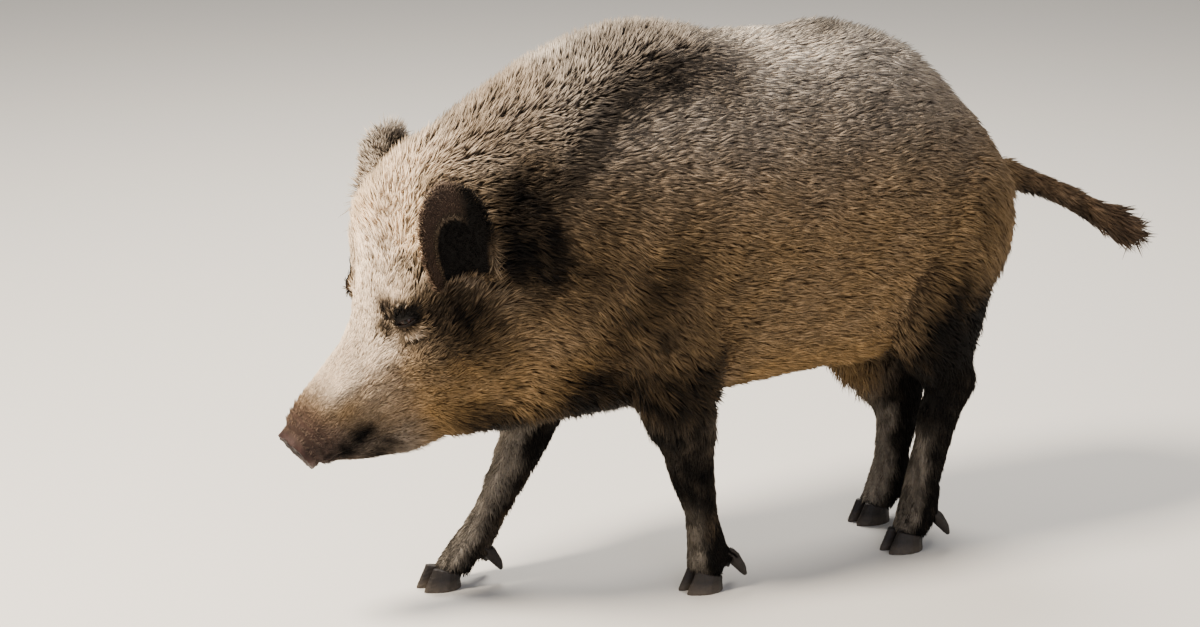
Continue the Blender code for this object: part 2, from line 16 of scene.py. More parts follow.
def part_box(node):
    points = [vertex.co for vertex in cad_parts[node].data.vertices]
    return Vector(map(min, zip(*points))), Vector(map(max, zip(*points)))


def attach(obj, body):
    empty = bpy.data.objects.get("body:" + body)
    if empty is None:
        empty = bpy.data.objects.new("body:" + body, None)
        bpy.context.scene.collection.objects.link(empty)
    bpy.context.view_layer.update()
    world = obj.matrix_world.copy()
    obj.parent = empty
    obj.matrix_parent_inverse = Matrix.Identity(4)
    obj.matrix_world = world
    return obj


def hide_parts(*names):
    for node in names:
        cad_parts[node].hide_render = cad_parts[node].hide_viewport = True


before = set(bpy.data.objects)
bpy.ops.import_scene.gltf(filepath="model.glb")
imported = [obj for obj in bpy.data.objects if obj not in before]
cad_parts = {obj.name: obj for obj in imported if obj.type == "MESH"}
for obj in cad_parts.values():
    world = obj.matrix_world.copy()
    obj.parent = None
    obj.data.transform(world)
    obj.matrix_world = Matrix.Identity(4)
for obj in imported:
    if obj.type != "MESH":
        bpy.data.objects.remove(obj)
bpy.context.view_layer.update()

# The head's own frame, as in the solids, and the eyes and the snout's disc in it.
HEAD_PITCH, HEAD_YAW, HEAD_ROLL = radians(36.0), radians(-4.0), radians(10.0)
EYE_BACK, EYE_SIDE, EYE_UP = 0.2045, 0.0655, 0.0840
EYE_RADIUS = 0.0120
DISC_RADIUS = 0.0335
DISC_TILT = radians(4.0)

# Ears: root, tip and the way each opens, in the head's own frame.
EARS = {
    "left": (Vector((0.277, -0.092, 0.069)), Vector((0.325, -0.114, 0.232)), Vector((-0.30, -0.85, -0.11))),
    "right": (Vector((0.292, 0.086, 0.064)), Vector((0.368, 0.130, 0.192)), Vector((-0.15, 0.95, 0.10))),
}
EAR_HALF_WIDTH = 0.045
EAR_THICKNESS = 0.0085
EAR_CUP = 0.026  # depth of the open side at the edges

# Hide.
VOXEL = 0.0032  # grid on which the solids are fused
HIDE_FACES = 88000  # triangles of the hide before the face is refined

# Coat.
TUFT_RINGS = 2  # of faces along a tuft
LOCK_SIZE = 0.011  # across a lock of tufts that turn together
GATHER = 0.16  # share by which the tips of a lock draw together
STRAY = 0.23  # how far a tuft may turn from the lie of the hair
UV_PATCH = 0.003  # of each tuft, on the unwrapped hide


# ---------------------------------------------------------------- small helpers


def step(low, high, value):
    """0 below low, 1 above high, and smooth between."""
    t = np.clip((value - low) / (high - low), 0.0, 1.0)
    return t * t * (3.0 - 2.0 * t)


def strongest(*shares):
    """The largest of several shares, at each point."""
    return np.maximum.reduce(shares)


def hump(centre, width, value):
    """1 at the centre, falling smoothly to 0 about two widths away."""
    return np.exp(-(((value - centre) / width) ** 2))


def blot(u, v, middle, size, power=2):
    """A soft blot on a plane: 1 at its middle, falling off at its size, and squarer for a higher power."""
    return np.exp(-(((u - middle[0]) / size[0]) ** power) - (((v - middle[1]) / size[1]) ** power))


def spot(points, centre, size):
    """1 at a centre in space, falling smoothly to 0 about two sizes away."""
    return np.exp(-(((points - np.array(centre)) / np.array(size)) ** 2).sum(1))


def ripple(points, size, phase=0.0):
    """Soft uneven waves from -1 to 1 with features of about a size."""
    total = np.zeros(len(points))
    for i in range(5):
        turn = Vector((1.0, 0.7, 0.4)).normalized()
        turn.rotate(Matrix.Rotation(2.4 * i + phase, 3, "Z") @ Matrix.Rotation(1.9 * i + 0.3, 3, "X"))
        total += np.sin(points @ np.array(turn) * (2 * pi / size) * (0.75 + 0.17 * i) + 3.1 * i + phase)
    return total / 3.2


def unit(vectors):
    return vectors / np.maximum(np.linalg.norm(vectors, axis=1, keepdims=True), 1e-9)


def middle(node):
    low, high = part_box(node)
    return (Vector(low) + Vector(high)) / 2


def head_frame():
    """Takes (distance behind the snout, side, height over the axis) to the animal's own place."""
    axis = Vector((cos(HEAD_PITCH), 0.0, sin(HEAD_PITCH)))
    turn = Matrix.Rotation(HEAD_YAW, 4, "Z") @ Matrix.Rotation(HEAD_ROLL, 4, axis)
    between_eyes = (middle("eye_left") + middle("eye_right")) / 2
    place = Matrix.Translation(between_eyes) @ turn @ Matrix.Rotation(-HEAD_PITCH, 4, "Y")
    return place @ Matrix.Translation((-EYE_BACK, 0.0, -EYE_UP))


HEAD = head_frame()
HEAD_ORIGIN = np.array(HEAD.translation)
HEAD_TURN = np.array(HEAD.to_3x3())


def to_head(points):
    return (points - HEAD_ORIGIN) @ HEAD_TURN


def from_head(points):
    return points @ HEAD_TURN.T + HEAD_ORIGIN


def points_of(mesh):
    found = np.empty(len(mesh.vertices) * 3)
    mesh.vertices.foreach_get("co", found)
    return found.reshape(-1, 3)


def set_points(mesh, points):
    mesh.vertices.foreach_set("co", np.ascontiguousarray(points).ravel())
    mesh.update()


def normals_of(mesh):
    found = np.empty(len(mesh.vertices) * 3)
    mesh.vertex_normals.foreach_get("vector", found)
    return found.reshape(-1, 3)


def relax(mesh, passes, amount=1.0):
    """Evens a mesh out without shrinking it, by an amount from 0 to 1 at each point."""
    points = points_of(mesh)
    count = len(points)
    edges = np.empty(len(mesh.edges) * 2, np.int32)
    mesh.edges.foreach_get("vertices", edges)
    a, b = edges.reshape(-1, 2).T
    ends, others = np.concatenate([a, b]), np.concatenate([b, a])
    share = np.broadcast_to(amount, (count,)) / np.maximum(np.bincount(ends, minlength=count), 1)
    held = np.broadcast_to(amount, (count,))
    for factor in (0.60, -0.612) * passes:  # each pass draws in, then pushes out
        for k in range(3):
            total = np.bincount(ends, weights=points[others, k], minlength=count)
            points[:, k] += factor * (total * share - points[:, k] * held)
    set_points(mesh, points)


def store(mesh, name, values):
    """Stores a number for each point of a mesh."""
    layer = mesh.attributes.new(name, "FLOAT", "POINT")
    layer.data.foreach_set("value", np.ascontiguousarray(values, np.float32))


def evaluated(made, name):
    """The object's mesh with its modifiers."""
    bpy.context.view_layer.update()
    found = made.evaluated_get(bpy.context.evaluated_depsgraph_get())
    mesh = bpy.data.meshes.new_from_object(found)
    mesh.name = name
    return mesh


def modified(made, kind, **settings):
    """Gives an object the mesh that one modifier makes of it. Returns that mesh."""
    modifier = made.modifiers.new(kind.lower(), kind)
    for name, value in settings.items():
        setattr(modifier, name, value)
    made.data = evaluated(made, made.name)
    made.modifiers.clear()
    return made.data


def mesh_of(work, name):
    """A mesh from a bmesh, which is then freed."""
    mesh = bpy.data.meshes.new(name)
    work.to_mesh(mesh)
    work.free()
    return mesh


def new_object(name, data):
    made = bpy.data.objects.new(name, data)
    bpy.context.scene.collection.objects.link(made)
    return made


def link(tree, node, inputs):
    """Fills a node's inputs, by name or number, with values, or links them to sockets or nodes."""
    for key, value in inputs.items() if isinstance(inputs, dict) else enumerate(inputs):
        if isinstance(value, bpy.types.Node):
            value = next(socket for socket in value.outputs if socket.enabled)
        if isinstance(value, bpy.types.NodeSocket):
            tree.links.new(value, node.inputs[key])
        else:
            node.inputs[key].default_value = value


def add(tree, kind, inputs=(), **settings):
    """Adds a node with its settings and links."""
    made = tree.nodes.new(kind)
    for name, value in settings.items():
        setattr(made, name, value)
    link(tree, made, inputs)
    return made


def srgb(text):
    """A hex sRGB colour as linear RGBA."""
    channels = [int(text[i : i + 2], 16) / 255 for i in (1, 3, 5)]
    return (*(c / 12.92 if c <= 0.04045 else ((c + 0.055) / 1.055) ** 2.4 for c in channels), 1.0)


# ---------------------------------------------------------------- ears


def ear_axes(side):
    """The root, length, and unit directions along, across and out of the open face of an ear."""
    root, tip, opening = EARS[side]
    along = tip - root
    length = along.length
    along.normalize()
    across = along.cross(opening).normalized()
    return root, length, along, across, across.cross(along)


def ear_width(t):
    return EAR_HALF_WIDTH * (0.62 + 0.38 * np.sin(pi * np.minimum(t / 0.56, 1) / 2)) * np.sqrt(
        np.maximum(1 - t**5.5, 0.03)
    )


def ear_solid(side, work):
    """Adds a cupped leaf with a rounded rim to a bmesh, open to the front and side."""
    root, length, along, across, facing = ear_axes(side)
    rings, points = 26, 44
    made = []
    for i in range(rings + 1):
        t = i / rings * 0.985
        width = float(ear_width(t))
        thick = EAR_THICKNESS * (1.35 - 0.6 * t) * 0.86
        cup = EAR_CUP * (1.15 - 0.75 * t) * (width / EAR_HALF_WIDTH)
        bend = 0.012 * (t - 0.5) ** 2
        ring = []
        for k in range(points):
            angle = 2 * pi * k / points
            share = np.sign(cos(angle)) * abs(cos(angle)) ** 0.8
            rise = np.sign(sin(angle)) * abs(sin(angle)) ** 0.55
            off = facing * (cup * abs(share) ** 2.4 + 0.5 * thick * rise - bend)
            ring.append(work.verts.new(HEAD @ (root + along * t * length + across * share * width + off)))
        made.append(ring)
    for ring, following in zip(made, made[1:]):
        for k in range(points):
            j = (k + 1) % points
            work.faces.new((ring[k], ring[j], following[j], following[k]))
    work.faces.new(made[0][::-1])
    work.faces.new(made[-1])


def ear_places(local, side):
    """For points in the head's frame: share of an ear's length, share across, and height over its leaf."""
    root, length, along, across, facing = ear_axes(side)
    away = local - np.array(root)
    t = away @ np.array(along) / length
    width = ear_width(np.clip(t, 0, 0.98))
    share = away @ np.array(across) / width
    cup = EAR_CUP * (1.15 - 0.75 * t) * (width / EAR_HALF_WIDTH)
    leaf = cup * np.clip(abs(share), 0, 1) ** 2.4 - 0.012 * (t - 0.5) ** 2
    return t, share, away @ np.array(facing) - leaf


# ---------------------------------------------------------------- zones of the body


def zones(points):
    """How much each point belongs to each zone of the body, from 0 to 1, in a dictionary."""
    x, y, z = points.T
    local = to_head(points)
    d = local[:, 0]
    found = {"local": local}
    ear, rim, inside, tassel, fold, line = np.zeros((6, len(points)))
    for name in EARS:
        t, share, height = ear_places(local, name)
        near = (t > 0.06) & (t < 1.06) & (abs(share) < 1.12) & (abs(height) < 0.0085)
        grade = np.where(near, step(0.06, 0.22, t), 0.0)
        ear = np.maximum(ear, grade)
        edge = np.maximum(step(0.72, 0.98, abs(share)), step(0.84, 0.98, t))
        rim = np.maximum(rim, grade * edge)
        inside = np.maximum(inside, grade * (height > 0.0) * (1 - 0.8 * edge))
        tassel = np.maximum(tassel, grade * step(0.76, 0.92, share) * hump(0.34, 0.15, t))
        outwards = (abs(share) ** 3 + np.clip((t - 0.30) / 0.68, 0, 1.3) ** 3) ** (1 / 3)
        front = step(0.50, -0.10, share - 1.1 * (t - 0.50)) * grade
        fold = np.maximum(fold, step(0.58, 0.72, outwards) * front)
        # A painted highlight: the lit thin line inside each ear, along its front edge.
        line = np.maximum(line, hump(0.60, 0.026, outwards) * front * (height > 0.0))
        found[f"ear_{name}"] = near
    found["ear"], found["ear_rim"], found["ear_inside"], found["tassel"] = ear, rim, inside, tassel
    found["ear_fold"], found["ear_line"] = fold, line
    ahead = step(-0.36, -0.42, x - 0.25 * (z - 0.45))
    found["head"] = ahead * (1 - ear)
    found["face"] = found["head"] * step(0.285, 0.215, d)
    found["muzzle"] = found["head"] * step(0.150, 0.085, d)
    found["leg"] = step(0.300, 0.225, z) * (1 - ahead) * step(0.40, 0.34, x)
    found["foot"] = step(0.095, 0.050, z)
    found["tail"] = step(0.415, 0.440, x)
    found["brush"] = step(0.535, 0.590, x)
    left = spot(points, (0.122, 0.0, 0.272), (0.046, 9, 0.042)) * step(0.02, -0.02, y)
    right = spot(points, (0.195, 0.0, 0.232), (0.055, 9, 0.055)) * step(-0.02, 0.02, y)
    found["stifle"] = np.clip(1.4 * (left + right), 0, 1)
    return found


# ---------------------------------------------------------------- hide


def coat_depth(points, normals, zone):
    """How far the hide lies inside the tips of the hair."""
    x, y, z = points.T
    d = zone["local"][:, 0]
    depth = np.full(len(points), 0.0065)
    crest = step(0.075, 0.020, abs(y)) * step(-0.52, -0.44, x) * step(0.03, -0.08, x) * step(0.52, 0.60, z)
    depth += 0.0135 * crest * (1 - zone["ear"])
    croup = step(0.060, 0.015, abs(y)) * hump(0.165, 0.090, x) * step(0.60, 0.66, z)
    depth += 0.0090 * croup
    depth += (0.0048 - depth) * step(0.34, 0.24, d) * zone["head"]
    depth += (0.0026 - depth) * zone["face"] * step(0.24, 0.16, d)
    depth += (0.0034 - depth) * zone["leg"]
    depth += (0.0022 - depth) * zone["foot"]
    depth += (0.0012 - depth) * zone["ear"]
    depth += (0.0050 - depth) * zone["tail"]
    depth += 0.0045 * zone["brush"]
    depth += 0.0080 * zone["stifle"] * step(-0.3, 0.3, -normals[:, 0])
    return depth


def fused_hide():
    """All the flesh as one closed mesh, smoothed, and drawn in by the depth of the coat.

    The sockets of the eyes, the snout's disc and the ears are made anew, finer than their solids.
    """
    work = bmesh.new()
    for name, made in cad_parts.items():
        if not name.startswith(("eye", "ear", "snout")) and "claw" not in name:
            work.from_mesh(made.data)
    bmesh.ops.remove_doubles(work, verts=work.verts, dist=1e-5)
    for sign in (-1, 1):
        socket = HEAD @ Matrix.Translation((EYE_BACK, sign * EYE_SIDE, EYE_UP))
        radius = EYE_RADIUS + 0.0010
        bmesh.ops.create_uvsphere(work, u_segments=32, v_segments=24, radius=radius, matrix=socket)
    disc = HEAD @ Matrix.Translation((0.011, 0.0, 0.0)) @ Matrix.Rotation(pi / 2 - DISC_TILT, 4, "Y")
    bmesh.ops.create_cone(
        work, cap_ends=True, segments=48, radius1=DISC_RADIUS, radius2=DISC_RADIUS, depth=0.022, matrix=disc
    )
    for side in EARS:
        ear_solid(side, work)
    bmesh.ops.recalc_face_normals(work, faces=work.faces)
    made = new_object("hide", mesh_of(work, "hide"))
    mesh = modified(made, "REMESH", mode="VOXEL", voxel_size=VOXEL)

    points = points_of(mesh)
    zone = zones(points)
    fine = np.maximum(zone["ear"], 0.6 * step(0.020, 0.006, zone["local"][:, 0]) * zone["head"])
    relax(mesh, 45, 1 - 0.85 * fine)
    points = points_of(mesh)
    normals = normals_of(mesh)
    points -= normals * coat_depth(points, normals, zones(points))[:, None]
    past = 0.30 * np.maximum(points[:, 0] - 0.600, 0.0)  # room for the brush past the tail's end
    points[:, 0] -= past
    points[:, 2] += 0.56 * past
    set_points(mesh, points)
    relax(mesh, 4, 1 - 0.8 * fine)

    points = points_of(mesh)
    zone = zones(points)
    keep = np.clip(0.12 + 0.88 * np.maximum.reduce([zone["face"], zone["ear"], 0.6 * zone["foot"]]), 0, 1)
    group = made.vertex_groups.new(name="plain")
    for level in range(9):
        chosen = np.flatnonzero(np.round(keep * 8) == level)
        group.add(chosen.tolist(), 1 - level / 8, "REPLACE")
    share = HIDE_FACES / (2 * len(mesh.polygons))
    modified(made, "DECIMATE", ratio=share, vertex_group="plain", use_collapse_triangulate=True)
    made.vertex_groups.clear()
    return made


def refine(mesh, where):
    """Halves the edges that lie within where(points), a test on points in the head's own frame."""
    chosen = where(to_head(points_of(mesh)))
    work = bmesh.new()
    work.from_mesh(mesh)
    work.verts.ensure_lookup_table()
    edges = [edge for edge in work.edges if chosen[edge.verts[0].index] and chosen[edge.verts[1].index]]
    bmesh.ops.subdivide_edges(work, edges=edges, cuts=1, smooth=0.0, use_grid_fill=True)
    bmesh.ops.triangulate(work, faces=[face for face in work.faces if len(face.verts) > 3])
    work.to_mesh(mesh)
    work.free()


def near_features(reach):
    """A test for points near an eye, the end of the snout or the mouth, in the head's own frame."""

    def test(local):
        d, side, h = local.T
        snout = (d < 0.020 + reach) & (abs(side) < 0.06)
        lips = (d < 0.100 + reach) & (abs(h - lip_line(d)) < 0.006 + 0.4 * reach)
        near = snout | lips
        for sign in (-1, 1):
            eye = np.array((EYE_BACK - 0.004, sign * EYE_SIDE, EYE_UP + 0.002))
            near |= np.linalg.norm(local - eye, axis=1) < 0.022 + reach
        return near

    return test


def near_slits(local):
    """True at points beside the slit of an eye, in the head's own frame."""
    near = np.zeros(len(local), bool)
    for sign in (-1, 1):
        u, v, w, _ = eye_places(local, sign)
        near |= (abs(u) < 0.0175) & (abs(v) < 0.0062) & (w > 0.002)
    return near


def lip_line(d):
    """Height of the closed lips over the head's axis."""
    return -0.0265 - 0.10 * (d - 0.03) - 2.2 * (d - 0.03) ** 2


def eye_axes(sign):
    """An eye's centre and unit directions along its slit, up across it and outwards."""
    centre = np.array((EYE_BACK, sign * EYE_SIDE, EYE_UP))
    out = np.array((-0.55, sign * 0.74, 0.36))
    out /= np.linalg.norm(out)
    slit = np.array((0.74, sign * 0.55, -0.10))
    slit -= out * (slit @ out)
    slit /= np.linalg.norm(slit)
    up = np.cross(slit, out) * sign
    return centre, slit, up, out


def eye_places(local, sign):
    """For points in the head's frame: along an eye's slit, up across it, outwards, and how far from it."""
    centre, slit, up, out = eye_axes(sign)
    away = local - centre
    return away @ slit, away @ up, away @ out, np.linalg.norm(away, axis=1)


def shape_eyes(local):
    """Raises a brow and lids over each eyeball, and opens a slit between them."""
    for sign in (-1, 1):
        u, v, w, far = eye_places(local, sign)
        brow = hump(0.0120, 0.0070, v) * hump(0.001, 0.021, u)
        pouch = hump(-0.0125, 0.0060, v) * hump(-0.001, 0.017, u)
        trough = hump(-0.002, 0.006, v) * hump(-0.026, 0.010, u)
        skin = w + (0.0064 if sign < 0 else 0.0044) * brow + 0.0024 * pouch - 0.0035 * trough
        radius = EYE_RADIUS + 0.0018
        off_centre = (u * 0.86) ** 2 + v**2
        dome = np.sqrt(np.maximum(radius**2 - off_centre, 0.0)) - 0.0012
        draped = 0.5 * (skin + dome + np.sqrt((skin - dome) ** 2 + 0.0030**2))
        lids = np.where(off_centre < (radius * 1.02) ** 2, draped, skin)
        half_length, half_height = 0.0130, 0.0029
        edge = half_height * np.maximum(1 - (u / half_length) ** 2, 0.0) ** 0.8
        open_at = v - 0.0004 - 0.0012 * (u / half_length)
        gap = abs(open_at) - edge
        opened = (abs(u) < half_length) * step(0.0003, -0.0009, gap)
        sunk = np.sqrt(np.maximum(EYE_RADIUS**2 - u**2 - v**2, 0.0)) - 0.0040
        lids = lids + (np.minimum(lids, sunk) - lids) * opened
        ring = np.exp(-(((gap - 0.0010) / 0.0013) ** 2)) * step(0.018, 0.013, abs(u))
        lids = lids + 0.0009 * ring
        moved = np.where((far < 0.045) & (w > -0.013), lids - w, 0.0)
        local = local + moved[:, None] * eye_axes(sign)[3]
    return local


def nostril(local, sign):
    """1 in a nostril, falling to 0 at its edge, and how many nostril sizes each point is from its middle."""
    across = (local[:, 1] - sign * 0.0128) / 0.0052
    rise = (local[:, 2] - 0.0020 - 0.25 * sign * (local[:, 1] - sign * 0.0128)) / 0.0068
    away = np.hypot(across, rise)
    return step(1.15, 0.55, away), away


def shape_snout(local):
    """The disc with its rim, dish and nostrils, the furrow behind it and the wrinkles on the bridge."""
    d, side, h = local.T.copy()
    radius = np.hypot(side / 0.0325, (h + 0.0005) / 0.0335)
    front = step(0.010, 0.003, d)
    knobs = ripple(local, 0.013, 0.7)
    d = d - front * hump(0.90, 0.15, radius) * (0.0014 + 0.0003 * knobs)
    d = d + 0.0020 * front * hump(0.50, 0.30, radius) + 0.0004 * front * ripple(local, 0.006, 1.9)
    for sign in (-1, 1):
        pit, away = nostril(local, sign)
        d = d + 0.0115 * front * pit - 0.0012 * front * hump(1.35, 0.35, away)
    furrow = hump(0.0150, 0.0042, d)
    folds = np.sin((d - 0.020) * 2 * pi / 0.0088 + 1.3 * ripple(local, 0.030, 2.6)) * step(0.010, 0.022, d)
    folds = folds * step(0.080, 0.040, d) * step(-0.020, 0.008, h) * (0.55 + 0.6 * ripple(local, 0.017, 4.4))
    swell = -0.0024 * furrow + 0.0010 * folds + 0.0002 * knobs * hump(0.006, 0.004, d)
    centre = -0.006 * step(0.02, 0.08, d)
    reach = np.maximum(np.hypot(side, h - centre), 0.004)
    scale = 1 + swell / reach
    return np.stack([d, side * scale, centre + (h - centre) * scale], 1)


def shape_mouth(local):
    """Closed lips: a furrow under an upper lip that hangs a little over the lower one."""
    d, side, h = local.T.copy()
    line = lip_line(d)
    along = step(0.010, 0.020, d) * step(0.122, 0.104, d)
    below = h - line
    groove = hump(0.0, 0.0019, below) * along
    lip = hump(0.0045, 0.0032, below) * along
    chin = step(0.002, -0.006, below) * along * step(-0.060, -0.020, h)
    pull = -0.0042 * groove + 0.0014 * lip - 0.0012 * chin
    reach = np.maximum(abs(side), 0.006)
    side = side * (1 + pull / reach)
    return np.stack([d, side, h], 1)


def distance_to(points, path):
    """Distance from each point to a path of straight runs."""
    path = np.array(path)
    nearest = np.full(len(points), 9.0)
    for start, end in zip(path, path[1:]):
        run = end - start
        t = np.clip((points - start) @ run / (run @ run), 0, 1)
        nearest = np.minimum(nearest, np.linalg.norm(points - start - t[:, None] * run, axis=1))
    return nearest


def creases(points, reach):
    """1 along the folds behind the elbows and under the mane, falling to 0 past the reach."""
    return sum(np.exp(-((distance_to(points, path) / reach) ** 2)) for path, _, _ in FOLDS[:3])


FOLDS = (  # a path, its depth and its half width
    (  # behind the left elbow
        ((-0.141, -0.176, 0.425), (-0.131, -0.172, 0.390), (-0.118, -0.155, 0.340), (-0.104, -0.125, 0.300)),
        0.0140,
        0.0065,
    ),
    (  # behind the right elbow
        ((-0.215, 0.172, 0.425), (-0.205, 0.170, 0.390), (-0.190, 0.154, 0.340), (-0.170, 0.125, 0.300)),
        0.0110,
        0.0065,
    ),
    (  # under the mane, left
        ((-0.224, -0.094, 0.689), (-0.181, -0.106, 0.683), (-0.136, -0.119, 0.670), (-0.101, -0.132, 0.649)),
        0.0045,
        0.0055,
    ),
    (  # between jowl and throat, left
        ((-0.500, -0.104, 0.372), (-0.482, -0.106, 0.350), (-0.466, -0.104, 0.322), (-0.462, -0.090, 0.290)),
        0.0055,
        0.0100,
    ),
)


def shape_hide(made):
    """Refines the folds and the head, and works the eyes, snout, mouth and folds into the hide."""
    mesh = made.data
    refine(mesh, lambda local: creases(from_head(local), 0.020) > 0.37)
    refine(mesh, near_features(0.022))
    refine(mesh, near_features(0.004))
    refine(mesh, near_slits)
    relax(mesh, 3, step(0.30, 0.26, to_head(points_of(mesh))[:, 0]))
    local = to_head(points_of(mesh))
    shaped = shape_mouth(shape_snout(shape_eyes(local)))
    on_head = (zones(points_of(mesh))["head"] > 0.5) & (local[:, 0] < 0.27)
    points = from_head(np.where(on_head[:, None], shaped, local))
    set_points(mesh, points)
    normals = normals_of(mesh)
    for path, depth, width in FOLDS:
        points -= normals * (depth * np.exp(-((distance_to(points, path) / width) ** 2)))[:, None]
    set_points(mesh, points)
    mesh.shade_smooth()


# ---------------------------------------------------------------- lie, length and colour of the coat


def lie_of_hair(points, normals, zone):
    """The way the hair points, as unit vectors along the surface."""
    x, _, z = points.T
    local = zone["local"]
    d, _, h = local.T

    def mixed(base, towards, weight):
        return base * (1 - weight)[:, None] + np.array(towards) * weight[:, None]

    flow = np.tile(np.array((1.0, 0.0, -0.12)), (len(points), 1))
    flow = mixed(flow, (0.90, 0.0, -0.42), step(0.62, 0.50, z) * step(-0.20, -0.34, x))
    shoulder = step(0.50, 0.36, z) * step(-0.10, -0.18, x) * step(-0.34, -0.26, x)
    flow = mixed(flow, (0.74, 0.0, -0.66), shoulder)
    flow = mixed(flow, (0.55, 0.0, -0.85), step(0.33, 0.28, z) * step(-0.24, -0.30, x))
    flow = mixed(flow, (0.72, 0.0, -0.70), step(0.50, 0.34, z) * step(0.04, 0.16, x))
    flow = mixed(flow, (0.50, 0.0, -0.88), step(0.20, 0.34, x) * step(0.62, 0.46, z))
    flow = mixed(flow, (0.05, 0.0, -1.0), zone["leg"])
    flow = mixed(flow, (0.88, 0.0, -0.48), zone["tail"])

    face = np.tile(np.array((1.0, 0.0, 0.10)), (len(points), 1))
    face = mixed(face, (1.0, 0.0, 0.60), step(0.02, 0.10, h) * step(0.10, 0.18, d))
    face = mixed(face, (1.0, 0.0, -0.35), step(0.06, -0.04, h) * step(0.10, 0.20, d))
    face = mixed(face, (0.75, 0.0, -0.80), step(-0.06, -0.12, h) * step(0.05, 0.12, d))
    swirl = spot(local, (0.215, 0.0, -0.030), (0.045, 9.0, 0.040))
    face[:, 2] += 0.4 * swirl * np.clip((0.225 - d) / 0.05, -1, 1)
    for sign in (-1, 1):
        centre, slit, up, out = eye_axes(sign)
        away = local - centre
        ring = np.exp(-((np.linalg.norm(away, axis=1) / 0.034) ** 4))
        ring = ring * step(0.020, 0.006, away @ up + 0.3 * (away @ slit))
        radial = unit(away - (away @ out)[:, None] * out)
        face = face * (1 - 0.55 * ring)[:, None] + (radial + np.array((0.4, 0, 0))) * (0.55 * ring)[:, None]
    face = face @ HEAD_TURN.T
    on_head = (zone["head"] * step(0.36, 0.27, d))[:, None]
    flow = flow * (1 - on_head) + face * on_head

    for name in EARS:
        along, across = (np.array(axis) for axis in ear_axes(name)[2:4])
        share = ear_places(local, name)[1]
        spread = 0.5 * share + 1.1 * np.clip(share, -1, 1) ** 3
        way = along + across * spread[:, None]
        hanging = zone["tassel"][:, None]
        way = way * (1 - hanging) + (across * 0.5 - along) * hanging
        on_ear = (zone["ear"] * zone[f"ear_{name}"])[:, None]
        flow = flow * (1 - on_ear) + (way @ HEAD_TURN.T) * on_ear

    wander = 0.20 * ripple(points, 0.17) + 0.16 * ripple(points, 0.055, 1.7)
    flow = unit(flow - (flow * normals).sum(1)[:, None] * normals)
    across = np.cross(normals, flow)
    wander = wander * (1 - 0.6 * zone["leg"]) * (1 - 0.5 * zone["face"])
    return unit(flow + across * wander[:, None])


def mane_edge(x):
    """Height of the mane's lower border along the body."""
    at = (-0.45, -0.346, -0.32, -0.27, -0.20, -0.14, -0.04)
    return np.interp(x, at, (0.54, 0.595, 0.63, 0.68, 0.705, 0.718, 0.735))


def crest_share(points):
    """1 on the mane of the nape, neck and withers, and 0 off it."""
    x, y, z = points.T
    mane = step(-0.012, 0.014, z - mane_edge(x) + 0.010 * ripple(points, 0.07))
    return mane * step(-0.500, -0.440, x) * step(0.00, -0.07, x) * step(0.135, 0.105, abs(y))


